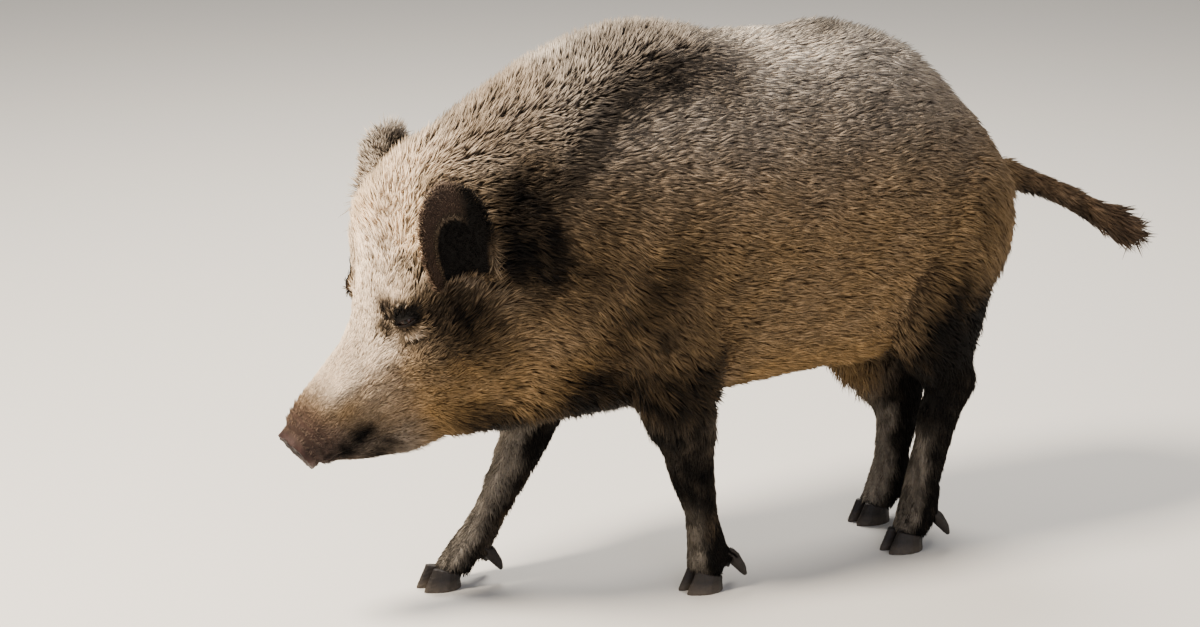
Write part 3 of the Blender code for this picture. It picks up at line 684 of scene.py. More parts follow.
def coat_numbers(points, zone):
    """Hair length, lift off the hide, width of a tuft and tufts to the square metre, at each point."""
    x, y, z = points.T
    local = zone["local"]
    d, side, h = local.T
    head, leg, ear = zone["head"], zone["leg"], zone["ear"]
    numbers = np.tile(((0.035,), (0.17,), (0.0025,), (96000.0,)), len(points))

    def lay(rows):
        """Draws the numbers towards each row's own by its share. None leaves a number as it is."""
        for share, *targets in rows:
            for k, target in enumerate(targets):
                if target is not None:
                    numbers[k] += (target - numbers[k]) * share

    spine = step(0.060, 0.015, abs(y)) * step(0.55, 0.62, z) * step(0.30, 0.22, x)
    spine = spine * (1 - 0.75 * step(-0.06, 0.0, x) * step(0.14, 0.08, x))
    croup = step(0.095, 0.030, abs(y)) * hump(0.17, 0.085, x) * step(0.60, 0.66, z)
    underside = step(0.36, 0.28, z) * (1 - leg)
    shaggy = step(0.345, 0.285, z) * step(-0.50, -0.44, x) * step(-0.12, -0.22, x)
    crown = head * step(0.19, 0.25, d)
    raised = 0.62 + 0.22 * step(0.06, 0.02, abs(side))
    forehead = step(0.09, 0.14, h) * step(0.15, 0.19, d)
    face = head * step(0.27, 0.20, d) * (1 - 0.55 * forehead)
    jaw = head * step(-0.045, -0.085, h) * step(0.06, 0.11, d)
    tip = head * step(0.055, 0.020, d)
    lay((
        (spine, None, 0.48, None, None),
        (crest_share(points), 0.021, 1.12, 0.0024, 118000.0),
        (croup, 0.030, 0.85, None, None),
        (underside, None, 0.34, None, None),
        (creases(points, 0.022), 0.024, 0.24, None, None),
        (shaggy, 0.046, 0.42, None, None),
        (crown, 0.030, None, 0.0022, 105000.0),
        (crown * step(0.05, 0.12, h), None, raised, None, None),
        (face, 0.0160, 0.26, 0.0016, 250000.0),
        (0.8 * jaw, 0.028, None, None, None),
        (jaw, None, 0.55, None, None),
        (zone["muzzle"] * (1 - 0.7 * jaw), 0.0105, None, None, None),
        (zone["muzzle"], None, None, 0.0010, 420000.0),
        (tip, 0.0075, 0.24, None, 360000.0),
    ))
    for sign in (-1, 1):
        u, v, _, far = eye_places(local, sign)
        brow = np.where(far < 0.045, hump(0.0175, 0.0060, v) * hump(0.004, 0.017, u), 0.0)
        pouch = np.where(far < 0.045, hump(-0.0130, 0.0060, v) * hump(-0.003, 0.016, u), 0.0)
        lay(((brow, 0.023, 0.52, 0.0011, None), (pouch, 0.015, 0.70, None, None)))
    lay((
        (leg, 0.0165, 0.17, 0.0016, 185000.0),
        (leg * step(0.20, 0.26, z) * (x < 0.0), 0.034, 0.36, 0.0022, 130000.0),
        (zone["stifle"], 0.044, 0.46, 0.0023, 120000.0),
        (zone["foot"] * leg, 0.0110, None, 0.0013, 250000.0),
        (zone["tail"], 0.024, 0.16, 0.0019, 160000.0),
        (zone["brush"], 0.046, 0.30, 0.0024, None),
        (ear, 0.0095, 0.38, 0.0011, 340000.0),
    ))
    numbers[3] *= 1 - 0.55 * zone["ear_inside"]
    lay((
        (zone["ear_rim"], 0.0135, 0.75, None, None),
        (zone["ear_fold"], None, 0.62, None, None),
        (zone["tassel"], 0.030, 0.30, None, 90000.0),
    ))
    length, lift, width, cover = numbers
    length = np.where(zone["ear_right"] & (zone["ear_inside"] < 0.2), length * 1.7, length)
    bare = bare_skin(local, zone)
    cover = cover * (1 - step(0.40, 0.95, bare))
    length = length * (1 - 0.45 * step(0.40, 0.9, bare))
    return length, lift, width, cover


def bare_skin(local, zone):
    """1 on the snout's disc, the lips' edge and the rims of the eyes, and 0 on haired skin."""
    d, _, h = local.T
    bare = step(0.0085, 0.0045, d + 0.0015 * ripple(local, 0.016)) * zone["head"]
    bare = np.maximum(bare, 0.45 * step(0.050, 0.025, d) * zone["head"])
    lips = np.exp(-((h - lip_line(d)) / 0.0022) ** 2) * step(0.008, 0.016, d) * step(0.118, 0.100, d)
    bare = np.maximum(bare, lips * zone["head"])
    for sign in (-1, 1):
        u, v, w, far = eye_places(local, sign)
        rims = blot(u, v, (0.0, 0.0), (0.0150, 0.0046), 4)
        corner = blot(u, v, (-0.0185, -0.001), (0.0065, 0.0050))
        close = (far < 0.030) & (w > -0.012)
        bare = np.maximum(bare, np.where(close, np.maximum(rims, 0.9 * corner), 0.0))
    return np.clip(bare, 0, 1)


def rosy_skin(local, zone):
    """1 on the paler lower rim of the snout's disc, and 0 off it."""
    d, side, h = local.T
    rim = hump(1.0, 0.22, np.hypot(side / 0.0325, (h + 0.0005) / 0.0335))
    return zone["head"] * rim * step(-0.002, -0.018, h) * step(0.014, 0.008, d)


def eye_marks(points, local):
    """Dark fur round the eyes with painted shade on the lids under the brow, the rusty front corner of each,
    and how near each point is to an eye.
    """
    dark, corners, by_eye = np.zeros((3, len(points)))
    for sign in (-1, 1):
        u, v, _, far = eye_places(local, sign)
        ahead = 1.0 if sign < 0 else 0.15
        corner = ahead * blot(u, v, (-0.028, 0.010), (0.014, 0.014))
        fringe = blot(u, v, (0.028, 0.051), (0.034, 0.014))
        shade = strongest(
            0.96 * blot(u, v, (0.040, -0.008), (0.039, 0.041), 4),
            # Dark lids and the skin under the brow: dark skin and fur, partly painted shade of the deep-set
            # eye.
            1.20 * blot(u, v, (0.005 + 0.003 * sign, 0.0045), (0.023, 0.0135), 4),
            1.05 * corner,
            0.95 * ahead * blot(u, v, (-0.040, -0.012), (0.014, 0.010)),
            0.95 * blot(u, v, (-0.001, -0.032), (0.026, 0.0075)),
            fringe * np.clip(0.60 + 1.3 * ripple(points, 0.010, 1.3), 0, 1.2),
        )
        dark = np.maximum(dark, np.where(far < 0.10, shade, 0.0))
        corners += np.where(far < 0.10, corner, 0.0)
        by_eye = np.maximum(by_eye, step(0.075, 0.045, far))
    return dark, corners, by_eye


def body_shade(points, zone, uneven):
    """Dark fur of the chest, throat, legs, belly, rump and mane, painted shade in the folds, and partly
    painted shade under the mane, on the lower forequarter, shoulder and thigh. uneven breaks its edges up.
    """
    x, y, z = points.T
    crest = crest_share(points)
    off_head = 1 - zone["head"]
    fore = step(-0.02, -0.13, x) * step(-0.40, -0.33, x) * step(-0.100, -0.138, x - 0.3 * (z - 0.30))
    collar = hump(-0.020, 0.034, z - mane_edge(x)) * step(0.04, 0.08, abs(y))
    ridge = step(0.055, 0.020, abs(y)) * step(0.05, 0.10, x) * step(0.26, 0.20, x) * step(0.60, 0.66, z)
    apron = step(0.318, 0.280, z + 0.008 * uneven - 0.034 * step(-0.37, -0.31, x))
    return strongest(
        # Lower forequarter: dark hair, with painted shade under the upper arm.
        0.97 * step(0.395, 0.325, z + 0.10 * abs(x + 0.20)) * fore * off_head,
        # Lower thigh: darker hair, partly painted shade.
        1.10 * step(0.480, 0.330, z) * step(0.115, 0.195, x),
        0.50 * step(0.60, 0.46, z) * step(0.19, 0.30, x),
        zone["leg"],
        # These two: darker hair of the lower shoulder and its front, partly painted shade.
        0.84 * spot(points, (-0.245, 0.0, 0.395), (0.110, 9, 0.150)) * off_head,
        0.78 * spot(points, (-0.340, 0.0, 0.465), (0.070, 9, 0.075)) * off_head,
        # Dark band under the mane: darker hair, with painted shade under the mane's overhang.
        0.80 * collar * step(-0.46, -0.40, x) * step(-0.04, -0.18, x),
        # Darker mane over the withers, partly painted shade in the gaps of the plush.
        0.30 * crest * step(-0.300, -0.225, x) * step(-0.060, -0.150, x),
        0.45 * ridge,
        # Painted shade in the folds, set a little behind each.
        0.85 * creases(points - np.array((0.004, 0.0, 0.0)), 0.0075),
        0.90 * apron * step(-0.51, -0.45, x) * step(-0.16, -0.24, x),
    )


def head_shade(points, zone, uneven):
    """Dark fur of the cheeks, chin, muzzle and round the roots of the ears, partly painted: the ears' shadow
    on the neck, and shade on the upper cheeks and under the muzzle and jaw. uneven mottles the muzzle.
    """
    local, head = zone["local"], zone["head"]
    d, side, h = local.T
    off_middle = step(0.02, 0.05, abs(side))
    # Round the roots of the ears: dark fur, with the shadow that the ears cast on the neck painted into it.
    core = spot(local, (0.360, 0.0, 0.095), (0.066, 9, 0.084)) * off_middle
    halo = spot(local, (0.410, 0.0, 0.070), (0.120, 9, 0.130)) * off_middle
    above = spot(local, (0.394, 0.0, 0.130), (0.062, 9, 0.046)) * step(0.035, 0.065, abs(side))
    ear_shadow_and_dark_fur = np.clip(np.maximum(1.6 * core, 0.66 * halo), 0, 1) * step(0.250, 0.290, d)
    ear_shadow_and_dark_fur = ear_shadow_and_dark_fur * (1 - 0.5 * crest_share(points))
    # Upper cheek: darker fur, partly painted shade.
    cheek_top = spot(local, (0.238, 0.0, 0.046), (0.058, 9, 0.058)) * step(0.03, 0.06, abs(side))
    # Under the upper lip and on the lower jaw: darker fur with painted shade.
    under = step(0.018, -0.012, h + 0.42 * (d - 0.05)) * step(0.120, 0.080, d)
    return strongest(
        np.maximum(1.05 * above, ear_shadow_and_dark_fur) * (1 - zone["ear"]),
        0.93 * cheek_top * head * step(0.02, 0.05, 0.155 - h),
        (0.74 + 0.20 * uneven) * head * under,
        0.45 * head * step(0.055, 0.020, d),
        # Underside of the jaw: darker fur with painted shade.
        0.60 * head * step(-0.080, -0.115, h) * step(0.28, 0.20, d),
    )


def pale_fur(points, zone):
    """Straw fur of the back, the upper side, the mane's outline, the forehead and the far ear, with a painted
    highlight on the top of the back and along the mane's outline.
    """
    x, y, z = points.T
    local, head = zone["local"], zone["head"]
    d, side, h = local.T
    # The top of the back: paler hair, with a painted highlight where it faces up.
    back = step(0.60, 0.70, z) * step(-0.13, -0.04, x) * step(0.36, 0.22, x)
    # The mane's top edge is painted lighter: cream tips, and a painted highlight where light grazes it.
    outline = step(0.040, 0.010, abs(y - 0.01)) * step(0.55, 0.62, z) * step(0.28, 0.20, x)
    outline = outline * (1 - 0.55 * step(-0.30, -0.40, x))
    low_side = step(0.042, 0.068, abs(side)) * step(0.105, 0.085, h)
    bridge = head * step(0.012, 0.050, h) * step(0.035, 0.085, d) * (1 - 0.62 * low_side)
    return strongest(
        # The palest patch of the back: pale hair and a painted sunlit highlight.
        np.clip(1.25 * pale_sunlit_back(points), 0, 1),
        0.62 * back,
        (0.14 + 0.36 * outline) * crest_share(points),
        0.26 * step(0.54, 0.66, z),
        bridge * (1 - 0.80 * step(0.345, 0.420, d)),
        0.45 * head * spot(local, (0.118, 0.0, 0.025), (0.036, 9, 0.040)),
        0.75 * zone["ear_right"] * (1 - zone["ear_inside"]) * zone["ear"],
    )


def pale_sunlit_back(points):
    """1 on the palest patch of the back, at each side of the spine: paler hair with a painted sunlit
    highlight on it.
    """
    x, y, _ = points.T
    beside = step(0.035, 0.065, abs(y) + 0.2 * (x < 0.02))
    return spot(points, (0.045, 0.0, 0.715), (0.120, 9, 0.042)) * beside


def warm_fur(points, zone):
    """Golden fur of the belly, flanks, cheeks, throat and nape."""
    x, _, z = points.T
    head = zone["head"]
    d, _, h = zone["local"].T
    throat = step(-0.27, -0.33, x) * step(0.42, 0.35, z) * (1 - step(0.02, -0.02, d))
    nape = head * step(0.20, 0.26, d) * step(0.06, 0.12, h)
    return strongest(
        0.80 * step(0.42, 0.30, z) * step(-0.15, -0.06, x) * step(0.24, 0.12, x),
        0.62 * step(0.66, 0.46, z) * (1 - step(0.30, 0.24, z)),
        0.80 * head * step(0.10, 0.16, d) * step(0.04, -0.02, h) * step(-0.13, -0.09, h),
        0.75 * throat * step(0.15, 0.20, d),
        0.85 * nape * (1 - 0.65 * step(0.33, 0.42, d)),
    )


def markings(points, normals, zone):
    """Shares of pale, warm, dark, mud and ruddy in the coat, at each point. dark holds dark fur and painted
    shade; pale holds pale fur and painted highlights.
    """
    x, y, z = points.T
    local, head, leg, tail = zone["local"], zone["head"], zone["leg"], zone["tail"]
    d = local[:, 0]
    uneven = ripple(points, 0.11, 0.6)
    fine = ripple(points, 0.045, 2.2)
    pale = pale_fur(points, zone)
    warm = warm_fur(points, zone)
    round_eyes, corners, by_eye = eye_marks(points, local)
    dark = strongest(body_shade(points, zone, fine), head_shade(points, zone, fine), round_eyes)

    slope = z - 0.5 * (x - 0.15)
    golden = np.where(y < 0, step(0.235, 0.275, slope) * step(0.188, 0.150, x), step(0.110, 0.165, slope))
    golden = zone["stifle"] * golden
    dark = dark * (1 - 0.66 * golden)
    warm = np.maximum(warm, 0.70 * golden)
    near_ear = zone["ear_left"] * zone["ear"]
    # The near ear is dark all over: dark hair, with painted shade standing in for the shade in its hollow.
    dark = np.maximum(dark, near_ear * (1.15 - 0.62 * zone["ear_fold"]))
    # The painted highlight along the inside of the ear's front edge.
    dark = dark * (1 - 0.75 * zone["ear_line"])
    pale = np.maximum(pale, 0.40 * zone["ear_line"])
    t, share, _ = ear_places(local, "right")
    blotch = np.maximum(zone["ear_inside"], hump(0.72, 0.17, t) * hump(-0.25, 0.50, share))
    # Painted shade on the underside of the tail, by how far each point faces down.
    tail_underside_shade = step(0.35, -0.35, normals[:, 2] + 0.35 * ripple(points * np.array((0.2, 1, 1)), 0.016))
    dark = strongest(
        dark,
        zone["ear_right"] * zone["ear"] * (0.16 + 0.74 * blotch),
        tail * (0.28 + 0.60 * tail_underside_shade) * (1 - 0.50 * zone["brush"]),
    )
    # Painted shade deep in the nostrils.
    for sign in (-1, 1):
        pit = nostril(local, sign)[0]
        dark = np.maximum(dark, pit * head * step(0.020, 0.012, d))
    for sign in (-1, 1):
        u, v, _, far = eye_places(local, sign)
        brow = 0.55 * hump(0.0195, 0.0060, v) * hump(0.000, 0.017, u)
        pouch = 0.85 * hump(-0.0165, 0.0060, v) * hump(-0.003, 0.015, u)
        tufts = np.where(far < 0.045, np.maximum(brow, pouch), 0.0)
        pale = np.maximum(pale, tufts)
        dark = dark * (1 - tufts)
    tassel = zone["tassel"] * zone["ear_left"]
    pale = np.maximum(pale, 0.6 * tassel)
    dark = dark * (1 - 0.7 * tassel)
    mottle = 0.14 * uneven + 0.12 * fine + 0.12 * ripple(points, 0.024, 4.1)
    mottle = mottle * (1 - 0.45 * zone["face"]) + 0.14 * zone["face"] * ripple(points, 0.011, 3.3)
    mottle = mottle * (1 - 0.9 * zone["ear"]) * (1 - 0.7 * by_eye)
    dark = np.clip(dark + mottle * (1 - 0.6 * pale_sunlit_back(points)), 0, 1)
    pale = np.clip(pale + 0.12 * uneven + 0.06 * fine, 0, 1) * (1 - dark)
    warm = np.clip(warm + 0.12 * uneven, 0, 1)

    mud_top = np.where(x > 0.1, np.where(y > 0, 0.200, 0.170), np.where(y > 0, 0.235, 0.120))
    caked = ripple(points, 0.014, 2.9)
    splashed = step(0.15, 0.90, -normals[:, 0] + 0.30 * fine + 0.15 * caked)
    thick = np.where(y > 0, 0.56, 0.36) + 0.30 * caked + 0.22 * ripple(points, 0.006, 5.0)
    mud = np.clip(leg * step(0.030, -0.040, z - mud_top) * splashed * thick, 0, 1)
    ruddy = strongest(
        0.65 * head * step(0.070, 0.030, d + 0.006 * fine),
        0.70 * near_ear * zone["ear_fold"],
        tail * (0.35 + 0.20 * zone["brush"]),
        0.5 * np.clip(corners, 0, 1) * head,
    )
    return pale, warm, dark, mud, ruddy


PLOTS = (
    "face_left", "face_right", "ears", "neck_left", "neck_right", "shoulder_left", "shoulder_right",
    "flank_left", "flank_right", "rump_left", "rump_right", "forelegs", "hindlegs", "tail",
)


def plots_of(points, zone):
    """The number of the coat piece that each point belongs to."""
    x, y, _ = points.T
    d = zone["local"][:, 0]
    right = (y > 0).astype(int)
    plot = np.where(x < -0.034, 5 + right, np.where(x < 0.125, 7 + right, 9 + right))
    plot = np.where(x < -0.270, 3 + right, plot)
    plot = np.where((zone["leg"] > 0.5) & (x < 0.02), 11, plot)
    plot = np.where((zone["leg"] > 0.5) & (x > 0.02), 12, plot)
    plot = np.where(zone["tail"] > 0.5, 13, plot)
    on_face = (zone["head"] > 0.5) & (d < 0.262)
    plot = np.where(on_face, (zone["local"][:, 1] > 0).astype(int), plot)
    return np.where(zone["ear"] > 0.3, 2, plot)


def mark_hide(made):
    """Stores on the hide what the coat and the colours are made from."""
    mesh = made.data
    points, normals = points_of(mesh), normals_of(mesh)
    zone = zones(points)
    length, lift, width, cover = coat_numbers(points, zone)
    pale, warm, dark, mud, ruddy = markings(points, normals, zone)
    numbers = {
        "hair_length": length, "hair_lift": lift, "tuft_width": width, "cover": cover,
        "pale": pale, "warm": warm, "dark": dark, "mud": mud, "ruddy": ruddy,
        "bare": bare_skin(zone["local"], zone), "rosy": rosy_skin(zone["local"], zone),
    }
    for name, values in numbers.items():
        store(mesh, name, values)
    layer = mesh.attributes.new("lie", "FLOAT_VECTOR", "POINT")
    layer.data.foreach_set("vector", lie_of_hair(points, normals, zone).astype(np.float32).ravel())
    corners = np.empty(len(mesh.polygons) * 3, np.int32)
    mesh.polygons.foreach_get("vertices", corners)
    plot = plots_of(points, zone)[corners.reshape(-1, 3)[:, 0]]
    layer = mesh.attributes.new("plot", "INT", "FACE")
    layer.data.foreach_set("value", plot.astype(np.int32))


def unwrap_hide(made):
    """Unwraps the hide by its own shape, in charts."""
    made.data.uv_layers.new(name="unwrap")
    bpy.context.view_layer.objects.active = made
    made.select_set(True)
    bpy.ops.object.mode_set(mode="EDIT")
    bpy.ops.mesh.select_all(action="SELECT")
    bpy.ops.uv.smart_project(angle_limit=radians(80.0), island_margin=0.004)
    bpy.ops.object.mode_set(mode="OBJECT")
    made.select_set(False)


# ---------------------------------------------------------------- materials


def finish(name):
    """A new material with its tree and its Principled shader."""
    made = bpy.data.materials.new(name)
    made.use_nodes = True
    return made, made.node_tree, made.node_tree.nodes["Principled BSDF"]


def layered(tree, colour, *layers):
    """Lays other colours over a colour in turn, each with its share."""
    for share, over in layers:
        colour = add(tree, "ShaderNodeMix", {0: share, 6: colour, 7: over}, data_type="RGBA")
    return colour


def coat_colour(tree, along, pick):
    """Colour of the hair at a share along it, by the markings. pick sets one tuft apart from the next."""
    pale, warm, dark, mud, ruddy = (
        add(tree, "ShaderNodeAttribute", attribute_name=name).outputs["Fac"]
        for name in ("pale", "warm", "dark", "mud", "ruddy")
    )
    # The dark share lays the darkest colours over tips and roots: dark fur, and painted shade.
    tip = layered(
        tree, srgb("#958675"), (warm, srgb("#a9854f")), (ruddy, srgb("#80675b")),
        (pale, layered(tree, srgb("#f2e6d5"), (warm, srgb("#edd2b0")))), (dark, srgb("#0d0906")),
    )
    # The palest fur is light down to the root and its tone is lifted; on the back this also carries the
    # painted highlight.
    bright = add(tree, "ShaderNodeMath", (pale, 4.0), operation="POWER")
    root = layered(
        tree, srgb("#30271f"), (warm, srgb("#443018")), (ruddy, srgb("#382824")),
        (pale, srgb("#4a3c32")), (bright, srgb("#c8b69e")), (dark, srgb("#040302")),
    )
    rise = add(tree, "ShaderNodeMapRange", (along, 0.10, 0.75), interpolation_type="SMOOTHSTEP")
    colour = layered(tree, root, (rise, tip))
    least = add(tree, "ShaderNodeMath", (bright, 0.50, 0.40), operation="MULTIPLY_ADD")
    tone = add(tree, "ShaderNodeMapRange", (pick, 0.0, 1.0, least, 1.22))
    colour = add(tree, "ShaderNodeMix", {0: 1.0, 6: colour, 7: tone}, data_type="RGBA", blend_type="MULTIPLY")
    return layered(tree, colour, (mud, srgb("#978d7f")))


def bristle():
    """Wild boar's coat: agouti bristle, dark at the root and light at the tip. Dry hair, a weak sheen."""
    made, tree, shader = finish("agouti_bristle")
    along = add(tree, "ShaderNodeAttribute", attribute_name="along").outputs["Fac"]
    pick = add(tree, "ShaderNodeAttribute", attribute_name="pick").outputs["Fac"]
    link(tree, shader, {"Base Color": coat_colour(tree, along, pick)})
    shader.inputs["Roughness"].default_value = 0.66
    shader.inputs["Specular IOR Level"].default_value = 0.10
    return made


def hide_finish():
    """Hide: woolly undercoat seen between the tufts, and the bare, damp leathery skin of the snout."""
    made, tree, shader = finish("boar_hide")
    place = add(tree, "ShaderNodeTexCoord").outputs["Object"]
    wool = add(tree, "ShaderNodeTexNoise", {"Vector": place, "Scale": 420.0, "Detail": 4.0})
    grain = add(tree, "ShaderNodeTexVoronoi", {"Vector": place, "Scale": 650.0})
    patch = add(tree, "ShaderNodeTexNoise", {"Vector": place, "Scale": 90.0, "Detail": 3.0})
    rosy, dark, bare = (
        add(tree, "ShaderNodeAttribute", attribute_name=name).outputs["Fac"]
        for name in ("rosy", "dark", "bare")
    )
    # Bare skin darkens with the dark share: dark skin, with painted shade in the nostrils and round the eyes.
    shade = add(tree, "ShaderNodeMath", (dark, 0.97), operation="MULTIPLY")
    skin = layered(tree, srgb("#271916"), (patch, srgb("#5c423b")), (rosy, srgb("#937b73")))
    skin = layered(tree, skin, (shade, srgb("#100a08")))
    rough = add(tree, "ShaderNodeMapRange", {0: bare, 3: 0.85, 4: 0.50})
    height = layered(tree, wool, (bare, grain))
    bump = add(tree, "ShaderNodeBump", {"Height": height, "Strength": 0.5, "Distance": 0.0010})
    colour = layered(tree, coat_colour(tree, 0.30, wool), (bare, skin))
    link(tree, shader, {"Base Color": colour, "Roughness": rough, "Normal": bump})
    shader.inputs["Specular IOR Level"].default_value = 0.13
    return made


def eye_finish():
    """Boar's eye: a wet, dark brown iris with fine spokes, a black pupil and a brownish white."""
    made, tree, shader = finish("boar_eye")
    off = add(tree, "ShaderNodeAttribute", attribute_name="off_gaze").outputs["Fac"]
    turn = add(tree, "ShaderNodeAttribute", attribute_name="turn").outputs["Fac"]
    spoke = add(tree, "ShaderNodeCombineXYZ", (turn, off))
    grain = add(tree, "ShaderNodeTexNoise", {"Vector": spoke, "Scale": 9.0, "Detail": 5.0})
    rim, ring, edge, pupil = (
        add(tree, "ShaderNodeMapRange", (off, *ends), interpolation_type="SMOOTHSTEP")
        for ends in ((0.58, 0.68), (0.50, 0.62), (0.62, 0.74, 1.0, 0.0), (0.21, 0.25))
    )
    iris = layered(tree, srgb("#0f0704"), (grain, srgb("#3a2110")))
    white = layered(tree, srgb("#2c1e18"), (grain, srgb("#5c4a3e")))
    dark = add(tree, "ShaderNodeMath", (ring, edge), operation="MULTIPLY")
    seen = layered(tree, iris, (rim, white), (dark, srgb("#0b0604")))
    link(tree, shader, {"Base Color": layered(tree, srgb("#020202"), (pupil, seen))})
    shader.inputs["Roughness"].default_value = 0.08
    shader.inputs["IOR"].default_value = 1.38
    shader.inputs["Specular IOR Level"].default_value = 0.30
    return made


def horn_finish():
    """Claw horn: near-black and dull, streaked down the wall, scuffed paler towards the ground."""
    made, tree, shader = finish("claw_horn")
    place = add(tree, "ShaderNodeTexCoord").outputs["Object"]
    drawn = add(tree, "ShaderNodeMapping", {"Vector": place, "Scale": (1.0, 1.0, 0.12)})
    streak = add(tree, "ShaderNodeTexNoise", {"Vector": drawn, "Scale": 520.0, "Detail": 5.0})
    scuff = add(tree, "ShaderNodeTexNoise", {"Vector": place, "Scale": 160.0, "Detail": 6.0})
    height = add(tree, "ShaderNodeSeparateXYZ", (place,)).outputs["Z"]
    low = add(tree, "ShaderNodeMapRange", (height, 0.000, 0.016, 0.50, 0.0))
    worn = add(tree, "ShaderNodeMath", (low, scuff), operation="MULTIPLY")
    colour = layered(tree, srgb("#0b0807"), (streak, srgb("#2c2520")), (worn, srgb("#857868")))
    rough = add(tree, "ShaderNodeMapRange", {0: scuff, 3: 0.42, 4: 0.72})
    bump = add(tree, "ShaderNodeBump", {"Height": streak, "Strength": 0.4, "Distance": 0.0005})
    link(tree, shader, {"Base Color": colour, "Roughness": rough, "Normal": bump})
    shader.inputs["Specular IOR Level"].default_value = 0.30
    return made


# ---------------------------------------------------------------- tufts


MATHS, VECTORS = "ShaderNodeMath", "ShaderNodeVectorMath"
READ = {
    "INT": ("plot",),
    "FLOAT": ("cover", "hair_length", "hair_lift", "tuft_width", "droop", "rise", "reach", "breadth"),
    "FLOAT_VECTOR": ("lie", "root", "up", "way", "gather", "shape", "unwrap"),
}
# Ends between which each tuft's own numbers are drawn: turn, length, width, lift and shade.
CHANCES = ((-1.0, 1.0), (0.62, 1.16), (0.65, 1.35), (-0.09, 0.14), (0.0, 1.0))


def tuft_tree():
    """Geometry nodes that grow one plot's tufts: slim closed spindles that rise and then lie along."""
    tree = bpy.data.node_groups.new("tufts", "GeometryNodeTree")
    face = tree.interface
    sockets = (
        ("Geometry", "Geometry"), ("Plot", "Int"), ("Seed", "Int"), ("Rings", "Int"),
        ("Density", "Float"), ("Lock", "Float"), ("Gather", "Float"), ("Stray", "Float"),
        ("Patch", "Float"), ("Material", "Material"),
    )
    for name, kind in sockets:
        face.new_socket(name, in_out="INPUT", socket_type="NodeSocket" + kind)
    face.new_socket("Geometry", in_out="OUTPUT", socket_type="NodeSocketGeometry")
    given = add(tree, "NodeGroupInput").outputs
    held = {}
    for kind, names in READ.items():
        for name in names:
            held[name] = add(tree, "GeometryNodeInputNamedAttribute", {"Name": name}, data_type=kind)
    chances = []
    for offset, (low, high) in enumerate(CHANCES, start=1):
        seed = add(tree, MATHS, (given["Seed"], offset), operation="ADD")
        chances.append(add(tree, "FunctionNodeRandomValue", {2: low, 3: high, "Seed": seed}))
    turned, longer, wider, raised, own = chances

    # Roots, spread over the plot by its cover.
    numbers = {2: held["plot"], 3: given["Plot"]}
    same = add(tree, "FunctionNodeCompare", numbers, data_type="INT", operation="EQUAL")
    plot = add(tree, "GeometryNodeSeparateGeometry", (given["Geometry"], same), domain="FACE")
    density = add(tree, MATHS, (held["cover"], given["Density"]), operation="MULTIPLY")
    spread = {"Mesh": plot, "Density": density, "Seed": given["Seed"]}
    roots = add(tree, "GeometryNodeDistributePointsOnFaces", spread).outputs
    position = add(tree, "GeometryNodeInputPosition")
    up, lift = roots["Normal"], held["hair_lift"]

    # The way each tuft lies: along the hide, turned with its neighbours in a lock and a little by itself.
    across = add(tree, VECTORS, (up, held["lie"]), operation="CROSS_PRODUCT")
    across = add(tree, VECTORS, (across,), operation="NORMALIZE")
    locks = add(tree, MATHS, (1.0, given["Lock"]), operation="DIVIDE")
    cell = add(tree, "ShaderNodeTexVoronoi", {"Vector": position, "Scale": locks}).outputs
    shared = add(tree, "ShaderNodeSeparateXYZ", (cell["Color"],)).outputs
    wild = add(tree, MATHS, (lift, 1.6, 0.75), operation="MULTIPLY_ADD")
    wild = add(tree, MATHS, (given["Stray"], wild), operation="MULTIPLY")
    together = add(tree, MATHS, (shared[1], 2.2, -1.1), operation="MULTIPLY_ADD")
    alone = add(tree, MATHS, (turned, 0.62), operation="MULTIPLY")
    turn = add(tree, MATHS, (alone, together), operation="ADD")
    turn = add(tree, MATHS, (wild, turn), operation="MULTIPLY")
    stray = add(tree, VECTORS, {0: across, "Scale": turn}, operation="SCALE")
    way = add(tree, VECTORS, (across, up), operation="CROSS_PRODUCT")
    way = add(tree, VECTORS, (way, stray), operation="ADD")
    way = add(tree, VECTORS, (way,), operation="NORMALIZE")

    # Its size, its lift, and the pull of its tip towards the middle of the lock.
    length = add(tree, MATHS, (held["hair_length"], longer), operation="MULTIPLY")
    breadth = add(tree, MATHS, (held["tuft_width"], wider), operation="MULTIPLY")
    angle = add(tree, MATHS, (lift, raised), operation="ADD")
    level = add(tree, MATHS, (angle,), operation="COSINE")
    reach = add(tree, MATHS, (length, level), operation="MULTIPLY")
    steep = add(tree, MATHS, (angle,), operation="SINE")
    rise = add(tree, MATHS, (length, steep), operation="MULTIPLY")
    droop = add(tree, MATHS, (lift, 0.42, -0.50), operation="MULTIPLY_ADD")
    droop = add(tree, MATHS, (droop, -0.10), operation="MINIMUM")
    inwards = add(tree, VECTORS, (cell["Position"], position), operation="SUBTRACT")
    outwards = add(tree, VECTORS, (inwards, up), operation="DOT_PRODUCT")
    outwards = add(tree, VECTORS, {0: up, "Scale": outwards}, operation="SCALE")
    gather = add(tree, VECTORS, (inwards, outwards), operation="SUBTRACT")
    gather = add(tree, VECTORS, {0: gather, "Scale": given["Gather"]}, operation="SCALE")
    pick = add(tree, MATHS, (own, 0.58), operation="MULTIPLY")
    by_lock = add(tree, MATHS, (shared[0], 0.42), operation="MULTIPLY")
    pick = add(tree, MATHS, (pick, by_lock), operation="ADD")
    points = roots["Points"]
    for name, kind, value in (
        ("root", "FLOAT_VECTOR", position), ("up", "FLOAT_VECTOR", up), ("way", "FLOAT_VECTOR", way),
        ("gather", "FLOAT_VECTOR", gather), ("reach", "FLOAT", reach), ("rise", "FLOAT", rise),
        ("breadth", "FLOAT", breadth), ("pick", "FLOAT", pick), ("droop", "FLOAT", droop),
    ):
        inputs = {"Geometry": points, "Name": name, "Value": value}
        points = add(tree, "GeometryNodeStoreNamedAttribute", inputs, data_type=kind)

